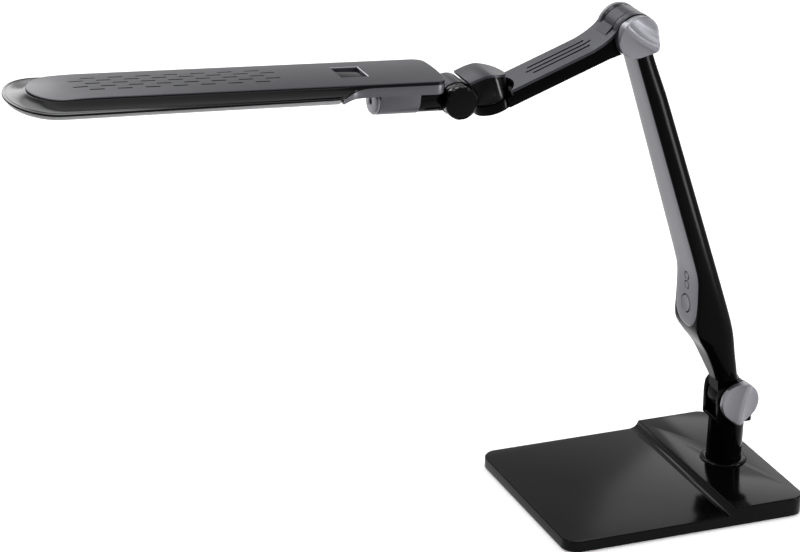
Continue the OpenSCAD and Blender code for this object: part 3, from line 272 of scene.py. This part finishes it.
def carve(obj, tools):
    """Cut the tools out of a piece and delete them."""
    for tool in tools:
        mod = obj.modifiers.new("carve", "BOOLEAN")
        mod.operation, mod.object, mod.solver = "DIFFERENCE", tool, "EXACT"
    apply_all(obj)
    for tool in tools:
        mesh = tool.data
        bpy.data.objects.remove(tool)
        bpy.data.meshes.remove(mesh)
    clean(obj)


def soften(obj, width, angle=32):
    """Round the edges that turn by more than the angle, by width."""
    mod = obj.modifiers.new("soften", "BEVEL")
    mod.width, mod.segments = width * 0.001, 3
    mod.limit_method, mod.angle_limit = "ANGLE", math.radians(angle)
    mod.use_clamp_overlap = True
    mod.harden_normals = False
    mod.miter_outer = "MITER_ARC"
    apply_all(obj)


def rounded(node, width, mat):
    """A CAD node's form with its edges rounded, by width, as moulded ones are."""
    src = NODES[node]
    obj = bpy.data.objects.new(node + "_formed", src.data.copy())
    bpy.context.scene.collection.objects.link(obj)
    clean(obj)
    bm = bmesh.new()
    bm.from_mesh(obj.data)
    bmesh.ops.dissolve_limit(bm, angle_limit=math.radians(0.8), verts=bm.verts, edges=bm.edges,
                             delimit={"NORMAL"})
    bm.to_mesh(obj.data)
    bm.free()
    soften(obj, width)
    finish_piece(obj, mat, BODY_OF[node], node)


def bore(r, y0, y1):
    """Profile of a plain cylinder, to cut with."""
    return [(0, y0), (r, y0), (r, y1), (0, y1)]


def block(x0, x1, y0, y1, z0, z1):
    """A plain box, to cut with or to hide inside another piece."""
    v = [(x, y, z) for x in (x0, x1) for y in (y0, y1) for z in (z0, z1)]
    return v, [(0, 1, 3, 2), (4, 6, 7, 5), (0, 4, 5, 1), (2, 3, 7, 6), (0, 2, 6, 4), (1, 5, 7, 3)]


def prism(outline, y0, y1):
    """A plate from y0 to y1 whose outline of (x, z) points lies in the XZ plane."""
    n = len(outline)
    verts = [(x, y0, z) for x, z in outline] + [(x, y1, z) for x, z in outline]
    faces = [tuple(range(n)), tuple(range(2 * n - 1, n - 1, -1))]
    faces += [(k, (k + 1) % n, n + (k + 1) % n, n + k) for k in range(n)]
    return verts, faces


def smooth_curve(pts, n=6):
    """A Catmull-Rom curve through the points."""
    out = []
    for i in range(len(pts) - 1):
        p0, p1, p2, p3 = pts[max(i - 1, 0)], pts[i], pts[i + 1], pts[min(i + 2, len(pts) - 1)]
        for k in range(n):
            u = k / n
            out.append(tuple(0.5 * (2 * b + (c - a) * u + (2 * a - 5 * b + 4 * c - d) * u * u
                                    + (3 * b - a - 3 * c + d) * u ** 3)
                             for a, b, c, d in zip(p0, p1, p2, p3)))
    out.append(tuple(pts[-1]))
    return out


def along(curve, s):
    """A curve's height at s."""
    return float(np.interp(s, [p[0] for p in curve], [p[1] for p in curve]))


def ease(a, b, x):
    """0 up to a, 1 from b, and a smooth rise between them."""
    t = min(1.0, max(0.0, (x - a) / (b - a)))
    return t * t * (3 - 2 * t)


# Lower arm: a tapering box section whose front swells into the key panel.
# s runs up the arm from the lower hinge, and t forward
KEYS = (("power_key", 91.0, 6.6), ("brighter_key", 112.7, 2.8), ("dimmer_key", 105.3, 2.8))
EAR_IN, EAR_OUT, EAR_R, TONGUE_HALF, TONGUE_R = 8.3, 14.1, 14.4, 7.4, 14.5
BULGE_S, BULGE_T, FRONT, BACK, FOOT = 73.0, 17.6, 2.8, 11.0, 17.0
TOP_HALF, KEY_HALF, CAP_R, GAP = 14.0, 18.6, 16.0, 0.3
EDGE_R, SOFT_R, BACK_R, FULLER = 2.2, 7.0, 5.6, 1.2
ARM_HEAD = LOWER_L - CAP_R - GAP
FRONT_CURVE = smooth_curve([
    (FOOT, 8.6), (FOOT + 13, 9.8), (BULGE_S - 24, BULGE_T - 5.4), (BULGE_S - 10, BULGE_T - 1.6),
    (BULGE_S, BULGE_T), (BULGE_S + 7, BULGE_T - 1.1), (BULGE_S + 15, BULGE_T - 3.9),
    (BULGE_S + 29, BULGE_T - 8.7), (BULGE_S + 42, FRONT + 2.6), (BULGE_S + 57, FRONT + 1.7),
    (BULGE_S + 95, FRONT + 1.2), (LOWER_L - 40, FRONT), (LOWER_L, FRONT)])
HALF_CURVE = smooth_curve([
    (FOOT, TOP_HALF - 0.6), (FOOT + 18, KEY_HALF - 2), (BULGE_S - 8, KEY_HALF), (BULGE_S + 45, KEY_HALF),
    (LOWER_L - 40, TOP_HALF + 0.6), (LOWER_L, TOP_HALF - 0.5)])


def back_at(s):
    """Distance of the arm's rear face from its axis at s."""
    return BACK - 3.6 * (1 - ease(FOOT, BULGE_S - 10, s))


def section(half, front, back, r_front, r_back, n=9):
    """Closed section of the arm, as (y, t) points: small front corners and deep, round rear ones."""
    deep = min(2 * r_back, back + front - r_front - 0.5)
    pts = []
    for i in range(n + 1):
        a = math.pi / 2 * i / n
        pts.append((half - r_front + r_front * math.sin(a), front - r_front + r_front * math.cos(a)))
    for i in range(n + 1):
        a = math.pi / 2 * i / n
        pts.append((half - r_back + r_back * math.cos(a), -back + deep - deep * math.sin(a)))
    pts += [(-y, t) for y, t in reversed(pts)]
    return pts + [((half - r_front) * (2 * i / n - 1), front) for i in range(1, n)]


def lower_arm():
    """The arm's shell, with its tongue in the post's fork and its two ears at the elbow."""
    stations = {8.0, 12.0, LOWER_L - 6} | {p[0] for p in FRONT_CURVE if p[0] < LOWER_L - 8}
    rings = []
    for s in sorted(stations):
        q = max(s, FOOT)
        half, front = along(HALF_CURVE, q), along(FRONT_CURVE, q)
        back = back_at(q) + FULLER * ease(FOOT + 20, BULGE_S, q) * (1 - ease(ARM_HEAD - 45, ARM_HEAD - 8, q))
        r_front = EDGE_R + SOFT_R * (1 - ease(BULGE_S - 18, BULGE_S - 1, q))
        ring = section(half, front, back, r_front, BACK_R)
        rings.append([(-t, y, s) for y, t in ring])
    shell = scratch("lower_shell_formed", *loft(rings), LOWER)
    tools = []
    for r, place in ((FOOT - 0.4, LOWER), (CAP_R + GAP, LOWER @ moved(0, 0, LOWER_L))):
        tools.append(scratch("t", *lathe(bore(r, -40, 40), 96), place))
    for _, s, r in KEYS:
        tools.append(scratch("t", *lathe(bore(r + GAP, -5, 4), 40), key_place(s)))
    carve(shell, tools)
    soften(shell, 0.5, 40)
    finish_piece(shell, "soft_black", "lower_arm", "lower_shell")
    # tongue, ears and their necks
    look = ("soft_black", "lower_arm")
    piece("lower_tongue", *lathe(rounded_disc(TONGUE_R, -TONGUE_HALF, TONGUE_HALF, 0.4)), LOWER, *look)
    neck = [(-8.4, FOOT + 3), (BACK - 4, FOOT + 3), (10, 4), (-12, 4)]
    piece("lower_tongue_neck", *prism(neck, -TONGUE_HALF, TONGUE_HALF), LOWER, *look)
    for side, tag in ((1, "far"), (-1, "near")):
        ear = rounded_disc(EAR_R, side * EAR_IN, side * EAR_OUT, 0.3)
        piece("lower_ear_" + tag, *lathe(ear), ELBOW, *look)
        y0, y1 = sorted((side * EAR_IN, side * (EAR_OUT - 0.8)))
        piece("lower_ear_neck_" + tag, *block(-FRONT + 0.2, BACK - 1, y0, y1, -20, -1),
              ELBOW @ turned_y(-LOWER_LEAN), *look)


def key_place(s):
    """Frame of a key: Y points out of the arm's front."""
    e = 3.0
    slope = math.atan2(along(FRONT_CURVE, s - e) - along(FRONT_CURVE, s + e), 2 * e)
    tilt = Matrix.Rotation(slope, 4, "Y") @ Matrix.Rotation(math.pi / 2, 4, "Z")
    return LOWER @ moved(-along(FRONT_CURVE, s), 0, s) @ tilt


FACIA_END, FACIA_EDGE = BULGE_S + 0.5, 2.3


def facia():
    """Crowned front plate, round at its lower end and with a well for each key."""
    wide = KEY_HALF - FACIA_EDGE
    rows = []
    for i in range(22):
        a = math.pi / 2 * i / 21
        rows.append((FACIA_END + wide * (1 - math.cos(a)), wide * math.sin(a)))
    for s in np.linspace(FACIA_END + wide + 2, ARM_HEAD - 1.2, 56):
        rows.append((float(s), along(HALF_CURVE, float(s)) - FACIA_EDGE))
    vs = [-math.cos(math.pi * k / 24) for k in range(25)]
    rings = []
    for s, half in rows:
        half = max(half, 0.02)
        ring = []
        for v in vs:
            lift = 0.55 * (1 - abs(v) ** 6) + 0.25 * (1 - v * v)
            edge = 0.5 * (abs(v) > 0.9999)
            near_end = 1 - ease(0, 3.0, s - FACIA_END)
            ring.append((-(along(FRONT_CURVE, s) + 0.05 + lift * (1 - 0.85 * near_end) - edge), v * half, s))
        for v in reversed(vs):
            ring.append((-(along(FRONT_CURVE, s) - 1.2), v * half * 0.985, s))
        rings.append(ring)
    obj = scratch("lower_facia_formed", *loft(rings), LOWER)
    tools = []
    for _, s, r in KEYS:
        well = [(0, -6), (r + 0.5, -6), (r + 0.5, 0.2), (r + 1.0, 1.0), (r + 1.0, 5), (0, 5)]
        tools.append(scratch("t", *lathe(well, 48), key_place(s)))
    carve(obj, tools)
    finish_piece(obj, "satin_silver", "lower_arm", "lower_facia", 30)


def keys():
    """Round keys with a dished top and a rounded edge."""
    top, edge = 1.05, 0.9
    for node, s, r in KEYS:
        dish = 0.45 if r > 5 else 0.15
        prof = [(0, top - dish)]
        for k in range(1, 8):
            u = k / 7
            prof.append(((r - edge) * u, top - dish * (1 - u * u)))
        for k in range(1, 6):
            a = math.pi / 2 * k / 5
            prof.append((r - edge + edge * math.sin(a), top - edge * (1 - math.cos(a))))
        prof += [(r, -1.4), (r * 0.6, -1.4), (r * 0.6, -2.4), (0, -2.4)]
        piece(node + "_formed", *lathe(prof, 56), key_place(s), "satin_silver", node, node, 30)


# Wing knob: a coin with a curved crest across it and a hollow on each side of the crest
KNOB_R, KNOB_RIM, KNOB_RISE, HOLLOW = 15.7, 5.2, 4.6, 10.5
CREST_HALF, CREST_OUT, CREST_BOW = 1.7, 1.44, 1.5


def knob_radius(a):
    """The crest's two ends stand out past the coin."""
    return KNOB_R + CREST_OUT * abs(math.sin(a)) ** 24


def knob_height(x, z):
    """Height over the inner face: a bowed crest that falls away into the hollows."""
    d = abs(x - (CREST_BOW * (z / KNOB_R) ** 2 - CREST_BOW / 2))
    if d < CREST_HALF:
        return KNOB_RIM + KNOB_RISE - 0.12 * (d / CREST_HALF) ** 2
    u = min(1.0, (d - CREST_HALF) / HOLLOW)
    return KNOB_RIM + 0.2 + (KNOB_RISE - 0.3) * (1 - u) ** 2


def wing_knob(node, place, inner):
    """A knob whose inner face is that far from the arm's middle, on the near side."""
    nr, na = 26, 96
    verts, faces = [], []
    for i in range(nr + 1):
        f = i / nr
        for k in range(na):
            a = 2 * math.pi * k / na
            r = knob_radius(a) * f
            x, z = r * math.cos(a), r * math.sin(a)
            edge = knob_radius(a) * (1 - f)
            drop = 1.0 - math.sqrt(max(0.0, 1 - (1 - edge) ** 2)) if edge < 1.0 else 0.0
            verts.append((x, -inner - knob_height(x, z) + drop * 0.9, z))
    for i in range(nr):
        for k in range(na):
            a, b = i * na + k, i * na + (k + 1) % na
            faces.append((a, b, b + na, a + na))
    base, off = nr * na, len(verts)
    for j, (shrink, y) in enumerate(((0.0, 2.4), (0.25, 1.2), (1.0, 0.6), (1.1, 0.0))):
        for k in range(na):
            a = 2 * math.pi * k / na
            r = (knob_radius(a) if j == 0 else KNOB_R) - shrink
            verts.append((r * math.cos(a), -inner - y, r * math.sin(a)))
    for j in range(4):
        lo = base if j == 0 else off + (j - 1) * na
        hi = off + j * na
        for k in range(na):
            faces.append((lo + k, lo + (k + 1) % na, hi + (k + 1) % na, hi + k))
    faces.append(tuple(off + 3 * na + k for k in range(na)))
    piece(node + "_formed", verts, faces, place, "silver_knob", node, node, 34)


# Head outlines, as loops of (s, y) from the rear's middle round the nose and back
REAR, HEAD_L = 16.4, 310.5
TIP = REAR + HEAD_L
COVER_TIP, COVER_HALF, COVER_ROUND, COVER_Z, CROWN = TIP - 15.3, 25.8, 22.0, 20.0, 1.5
RIM_HALF, RIM_REAR, RIM_ROUND, RIM_EDGE, CUT_S = 39.8, 35.6, 30.7, 14.1, 94.0
ROOF, TIP_FALL, TIP_DROP, RIM_LOW, DIFFUSER_Z = 19.2, 44.0, 2.9, 12.4, 9.0
ROOF_DROP, DIFFUSER_IN, DIFFUSER_ROUND = TIP_DROP - 1.1, 2.4, 1.9
VENT_START, VENT_PITCH, VENT_L, VENT_R, VENT_GAP, VENT_N = 30.2, 19.6, 10.8, 0.72, 5.9, 8
WINDOW_NEAR, WINDOW_FAR, WINDOW_HALF, CUTTER_LOW = 70, 91, 11, 15
CENTRE = TIP - RIM_ROUND
RIM_LINE = smooth_curve([
    (CENTRE, RIM_HALF), (CENTRE - 28, RIM_HALF - 0.7), (CENTRE - 60, RIM_REAR + 2.5),
    (CENTRE - 118, RIM_REAR + 1.2), (CUT_S + 14, RIM_REAR + 0.1), (CUT_S + 5, RIM_REAR - 0.3),
    (CUT_S + 0.3, RIM_REAR - 2.6), (CUT_S - 4, RIM_REAR - 5.6), (CUT_S - 8.5, COVER_HALF + 1.6),
    (CUT_S - 14, COVER_HALF + 0.5), (CUT_S - 21, COVER_HALF + 0.2), (REAR, COVER_HALF + 0.2)])[::-1]
LOW_LINE = smooth_curve([
    (REAR - 2, 17.4), (CUT_S - 30, 17.4), (CUT_S - 19, 17.2), (CUT_S - 11, 16.1), (CUT_S - 5, 14.4),
    (CUT_S + 1, 13.3), (CUT_S + 6, 13.0), (TIP - 130, RIM_LOW), (TIP + 2, RIM_LOW)])


def fall(s):
    """How far the nose has fallen at s, from 0 to 1 at the cover's tip."""
    return max(0.0, (s - COVER_TIP + TIP_FALL) / TIP_FALL) ** 2


def crown_z(y):
    """Height of the lid's crown, an arc across the head, at y."""
    r = (COVER_HALF ** 2 + CROWN ** 2) / (2 * CROWN)
    return COVER_Z + CROWN - (r - math.sqrt(r * r - y * y))


def loop_of(half_at, centre, reach, half, e, rear=REAR, corner=8.0):
    """Closed loop: rear edge, corner, side, nose and back along the far side."""
    w = half_at(rear + corner)
    pts = [(rear, (w - corner) * k / 5) for k in range(5)]
    for k in range(9):
        a = math.pi / 2 * k / 8
        pts.append((rear + corner - corner * math.cos(a), w - corner + corner * math.sin(a)))
    span = centre - rear - corner
    for f in SIDE_STEPS:
        pts.append((rear + corner + span * f, half_at(rear + corner + span * f)))
    for k in range(33):
        a = math.pi / 2 * k / 32
        pts.append((centre + reach * math.sin(a) ** (2 / e), half * math.cos(a) ** (2 / e)))
    return pts + [(s, -y) for s, y in reversed(pts[1:-1])]


# Places along the side, closer together at the cut
EVEN_STEPS = {round(k / 30, 4) for k in range(1, 30)}
SIDE_STEPS = sorted(EVEN_STEPS | {round(0.16 + k * 0.0075, 4) for k in range(18)})


def inset_at(loop, k, d):
    """Point k of a loop, moved inward by d."""
    n = len(loop)
    (x0, y0), (x1, y1) = loop[(k - 1) % n], loop[(k + 1) % n]
    tx, ty = x1 - x0, y1 - y0
    m = math.hypot(tx, ty) or 1
    return (loop[k][0] + ty / m * d, loop[k][1] - tx / m * d)


def cover_loop():
    return loop_of(lambda s: COVER_HALF, COVER_TIP - COVER_ROUND, COVER_ROUND, COVER_HALF, 1.9)


def rim_loop():
    return loop_of(lambda s: along(RIM_LINE, s), CENTRE, RIM_ROUND, RIM_HALF, 2.0)


def lid_under(s):
    """Height of the lid's underside at s."""
    return ROOF - ROOF_DROP * fall(s) + 0.05


def lid_top(s, y):
    """Height of the lid's top, which stays over its underside."""
    return max(crown_z(y) - TIP_DROP * fall(s), lid_under(s) + 0.5)


def head_cover():
    """Crowned lid with vent slots, a window and a bright chamfer round the window."""
    loop = cover_loop()
    n = len(loop)
    low = [inset_at(loop, k, 0.2) for k in range(n)]
    rings = [[(-s, y, lid_under(s)) for s, y in low], [(-s, y, lid_under(s) + 0.25) for s, y in loop]]
    for d, lift in ((0.0, 0.42), (0.12, 0.2), (0.35, 0.06), (0.8, 0.0)):
        ring = []
        for k in range(n):
            s, y = inset_at(loop, k, d)
            ring.append((-s, y, max(lid_top(s, y) - lift, lid_under(s) + 0.3)))
        rings.append(ring)
    for f in (0.93, 0.85, 0.75, 0.62, 0.48, 0.32, 0.16, 0.0):
        ring = []
        for s, y in loop:
            cs = min(max(s, REAR + 14), COVER_TIP - COVER_ROUND)
            x, yy = cs + (s - cs) * f, y * f
            ring.append((-x, yy, lid_top(x, yy)))
        rings.append(ring)
    verts, faces = loft(rings, True, False)
    faces.append(tuple(range(n)))
    obj = scratch("head_cover_formed", verts, faces, HEAD)
    slots = []
    for row in (-2, -1, 0, 1, 2):
        full = abs(row) == 1
        start = COVER_TIP - VENT_START - (0 if full else 10)
        for i in range(VENT_N if full else VENT_N - 1):
            x = VENT_PITCH * i - start
            slots.append(stadium(x, x + VENT_L, row * VENT_GAP, VENT_R, CUTTER_LOW, COVER_Z + 5))
    window = block(-WINDOW_FAR, -WINDOW_NEAR, -WINDOW_HALF, WINDOW_HALF, CUTTER_LOW, COVER_Z + 6)
    carve(obj, [scratch("t", *merged(slots), HEAD), scratch("t", *window, HEAD)])
    finish_piece(obj, "satin_grey", "head", "head_cover", 30)
    rings = []
    for inset, sink in ((0.0, -0.06), (0.55, 0.3), (0.55, 2.0), (0.0, 2.0), (0.0, -0.06)):
        x0, x1, half = -WINDOW_FAR + inset, -WINDOW_NEAR - inset, WINDOW_HALF - inset
        outline = ((x0, -half), (x1, -half), (x1, half), (x0, half))
        rings.append([(x, y, crown_z(y) - sink) for x, y in outline])
    piece("window_frame", *loft(rings, True, False), HEAD, "silver_knob", "head", sharp=20)


def head_rim():
    """Dished flange from the cover's edge to a thin lip, and the closed roof under the vents."""
    inner, outer = cover_loop(), rim_loop()
    n = len(outer)
    rings = []
    for k in range(n):
        (si, yi), (so, yo) = inner[k], outer[k]
        start = ROOF - ROOF_DROP * fall(si)
        width = math.hypot(so - si, yo - yi)
        if so < CENTRE:
            full = RIM_REAR - COVER_HALF + (RIM_HALF - RIM_REAR) * ease(140, CENTRE, so)
        else:
            full = max(width, 10)
        u_out = min(1.0, width / full)
        low = along(LOW_LINE, so)
        a, b = inset_at(inner, k, 1.0)
        ring = [(-a, b, start - 1.5), (-a, b, start)]
        for j in range(11):
            f = j / 10
            u = u_out * f
            z = RIM_EDGE + (start - RIM_EDGE) * (1 - u) ** 2
            if j == 10:
                z = max(z - 0.12, low + 0.8)
                f -= 0.012 if width > 2 else 0
            ring.append((-(si + (so - si) * f), yi + (yo - yi) * f, max(z, low + 0.8)))
        edge_z = max(RIM_EDGE + (start - RIM_EDGE) * (1 - u_out) ** 2 - 0.5, low + 0.6)
        ring.append((-so, yo, edge_z))
        ring.append((-so, yo, low + 0.35))
        p = inset_at(outer, k, 0.35)
        ring.append((-p[0], p[1], low))
        q = inset_at(outer, k, 2.1)
        ring.append((-q[0], q[1], low + 0.05))
        ring.append((-q[0], q[1], min(low + 2.0, 17.6)))
        rings.append(ring)
    rings.append(rings[0])
    verts, faces = loft(rings, False, False)
    piece("head_rim_formed", verts, faces, HEAD, "rim_black", "head", "head_rim", 50)
    loop = [inset_at(inner, k, 2.0) for k in range(n)]
    verts = [(-s, y, ROOF - ROOF_DROP * fall(s) - t) for t in (1.9, 0.6) for s, y in loop]
    faces = [tuple(range(n)), tuple(range(2 * n - 1, n - 1, -1))]
    faces += [(k, (k + 1) % n, n + (k + 1) % n, n + k) for k in range(n)]
    piece("head_roof", verts, faces, HEAD, "matte_black", "head")


def diffuser():
    """Frosted tray that stands below the rim, with a rounded edge."""
    rear = CUT_S + 1 + DIFFUSER_IN
    loop = loop_of(lambda s: along(RIM_LINE, s) - DIFFUSER_IN, CENTRE, RIM_ROUND - DIFFUSER_IN,
                   RIM_HALF - DIFFUSER_IN, 2.0, rear, 3.0)
    n = len(loop)
    rings = [[(-s, y, RIM_LOW - 0.1 + 0.5 * (1 - ease(CUT_S, TIP - 130, s))) for s, y in loop]]
    for k in range(7):
        a = math.pi / 2 * k / 6
        d = DIFFUSER_ROUND * (1 - math.cos(a))
        edge = [inset_at(loop, i, d) for i in range(n)]
        rings.append([(-s, y, DIFFUSER_Z + 1.7 - 1.7 * math.sin(a)) for s, y in edge])
    for f in (0.85, 0.5, 0.0):
        ring = []
        for i in range(n):
            s, y = inset_at(loop, i, DIFFUSER_ROUND)
            cs = min(max(s, rear + 20), TIP - 34)
            ring.append((-(cs + (s - cs) * f), y * f, DIFFUSER_Z))
        rings.append(ring)
    verts, faces = loft(rings, True, False)
    faces.append(tuple(range(n)))
    piece("diffuser_formed", verts, faces, HEAD, "diffuser", "head", "diffuser", 40)


def elbow_ring():
    """Far elbow cap, with the ear's black ring between it and the knuckle."""
    cap = [(0, 14.3), (14.7, 14.3), (14.7, 12.0), (15.4, 12.0), (15.9, 12.3), (16.0, 12.7), (16.0, 15.0),
           (15.8, 15.4), (15.3, 15.6), (9.5, 15.6), (9.1, 15.2), (0, 15.2)]
    piece("elbow_cap_far_formed", *lathe(cap), ELBOW, "satin_silver", "lower_arm", "elbow_cap_far", 30)
    ring = [(14.6, 8.7), (15.3, 8.7), (15.5, 8.9), (15.5, 12.0), (14.6, 12.0), (14.6, 8.7)]
    piece("elbow_ear_ring", *lathe(ring), ELBOW, "gloss_black", "lower_arm", sharp=30)


def merged(parts):
    """Several solids as one list of vertices and faces."""
    verts, faces = [], []
    for v, f in parts:
        n = len(verts)
        verts += v
        faces += [tuple(i + n for i in q) for q in f]
    return verts, faces


def stadium(x0, x1, y, r, z0, z1, n=5):
    """A slot's upright solid, round at both ends."""
    pts = []
    for k in range(n + 1):
        a = -math.pi / 2 + math.pi * k / n
        pts.append((x1 - r + r * math.cos(a), y + r * math.sin(a)))
    for k in range(n + 1):
        a = math.pi / 2 + math.pi * k / n
        pts.append((x0 + r + r * math.cos(a), y + r * math.sin(a)))
    m = len(pts)
    verts = [(x, yy, z0) for x, yy in pts] + [(x, yy, z1) for x, yy in pts]
    faces = [tuple(reversed(range(m))), tuple(range(m, 2 * m))]
    faces += [(k, (k + 1) % m, m + (k + 1) % m, m + k) for k in range(m)]
    return verts, faces


lower_arm()
facia()
keys()
wing_knob("post_knob", moved(0, 0, HINGE_Z) @ turned_y(10), 14.4)
wing_knob("elbow_knob", ELBOW @ turned_y(-54), 15.9)
head_cover()
head_rim()
diffuser()
elbow_ring()

# CAD forms that stay as they are: the width of their rounded edges, and their finish where it is another
ROUNDED = {"base_shell": 0.5, "post": 0.5, "swivel_collar": 0.6, "elbow_cap_near": 0.4, "upper_shell": 0.6,
           "wrist_drum": 0.6, "wrist_cap": 0.6, "tilt_knob": 0.8, "tilt_hub": 0.5, "hub_cover": 0.5,
           "roll_cap": 0.5, "head_neck": 0.5, "head_window": 0.2}
OTHER_FINISH = {"post": "soft_black", "upper_shell": "soft_black", "head_neck": "satin_mid"}
for name, width in ROUNDED.items():
    rounded(name, width, OTHER_FINISH.get(name, SLOT_OF[name]))


# Stage and light
def seen_rays(tree, strength):
    """Strength on the rays that show the background, and none on the rays that light the object."""
    path = tree.nodes.new("ShaderNodeLightPath")
    last = path.outputs["Is Camera Ray"]
    for ray in ("Is Glossy Ray", "Is Transmission Ray"):
        most = tree.nodes.new("ShaderNodeMath")
        most.operation = "MAXIMUM"
        tree.links.new(last, most.inputs[0])
        tree.links.new(path.outputs[ray], most.inputs[1])
        last = most.outputs[0]
    scaled = tree.nodes.new("ShaderNodeMath")
    scaled.operation = "MULTIPLY"
    scaled.inputs[1].default_value = strength
    tree.links.new(last, scaled.inputs[0])
    return scaled.outputs[0]


def stage():
    """Pale floor and world, white where the camera or a reflection sees them."""
    mesh = bpy.data.meshes.new("floor")
    half = 6.0
    corner_points = [(-half, -half, 0), (half, -half, 0), (half, half, 0), (-half, half, 0)]
    mesh.from_pydata(corner_points, [], [(0, 1, 2, 3)])
    floor = bpy.data.objects.new("floor", mesh)
    bpy.context.scene.collection.objects.link(floor)
    floor.location.z = -0.0002
    mat = bpy.data.materials.new("floor_white")
    mat.use_nodes = True
    nt = mat.node_tree
    bsdf = nt.nodes["Principled BSDF"]
    noise = nt.nodes.new("ShaderNodeTexNoise")
    noise.inputs["Scale"].default_value = 3
    ramp = nt.nodes.new("ShaderNodeValToRGB")
    ramp.color_ramp.elements[0].color = (0.86, 0.86, 0.86, 1)
    ramp.color_ramp.elements[1].color = (0.88, 0.88, 0.88, 1)
    nt.links.new(noise.outputs["Fac"], ramp.inputs["Fac"])
    nt.links.new(ramp.outputs["Color"], bsdf.inputs["Base Color"])
    bsdf.inputs["Roughness"].default_value = 0.7
    bsdf.inputs["Specular IOR Level"].default_value = 0.1
    glow = nt.nodes.new("ShaderNodeEmission")
    nt.links.new(seen_rays(nt, 0.3), glow.inputs["Strength"])
    both = nt.nodes.new("ShaderNodeAddShader")
    nt.links.new(bsdf.outputs["BSDF"], both.inputs[0])
    nt.links.new(glow.outputs["Emission"], both.inputs[1])
    nt.links.new(both.outputs["Shader"], nt.nodes["Material Output"].inputs["Surface"])
    mesh.materials.append(mat)

    world = bpy.data.worlds.new("studio")
    bpy.context.scene.world = world
    world.use_nodes = True
    wt = world.node_tree
    bg = wt.nodes["Background"]
    bg.inputs["Color"].default_value = (1, 1, 1, 1)
    span = wt.nodes.new("ShaderNodeMapRange")
    span.inputs["To Min"].default_value = 0.42
    span.inputs["To Max"].default_value = 1.0
    wt.links.new(seen_rays(wt, 1.0), span.inputs["Value"])
    wt.links.new(span.outputs["Result"], bg.inputs["Strength"])


def softbox(name, at, aim, size, power):
    """A lamp of that width and height, in metres, at a place and turned to a point."""
    light = bpy.data.lights.new(name, "AREA")
    light.shape = "RECTANGLE"
    light.size, light.size_y = size
    light.energy = power
    obj = bpy.data.objects.new(name, light)
    bpy.context.scene.collection.objects.link(obj)
    obj.visible_camera = False
    at, aim = Vector(at), Vector(aim)
    obj.matrix_world = Matrix.Translation(at) @ (aim - at).to_track_quat("-Z", "Y").to_matrix().to_4x4()


stage()
softbox("top_light", (-0.2, 0.4, 2.0), (-0.2, 0.0, 0.2), (2.4, 1.6), 24)
softbox("left_light", (-1.9, -0.3, 1.1), (-0.4, 0, 0.3), (0.4, 1.4), 8)
softbox("right_light", (1.5, -1.0, 0.9), (0, 0, 0.25), (0.3, 1.6), 8)
softbox("nose_light", (-0.42, 1.15, 0.8), (-0.55, 0, 0.35), (0.36, 0.3), 2.2)
softbox("elbow_light", (-0.25, 1.0, 1.12), (-0.11, 0, 0.375), (0.5, 0.3), 2.5)
softbox("edge_light", (0.6, -0.56, 0.17), (0, 0, 0.22), (0.15, 0.33), 5.5)
softbox("deck_light", (1.05, 1.3, 1.0), (0, 0, 0.02), (0.9, 0.7), 4)
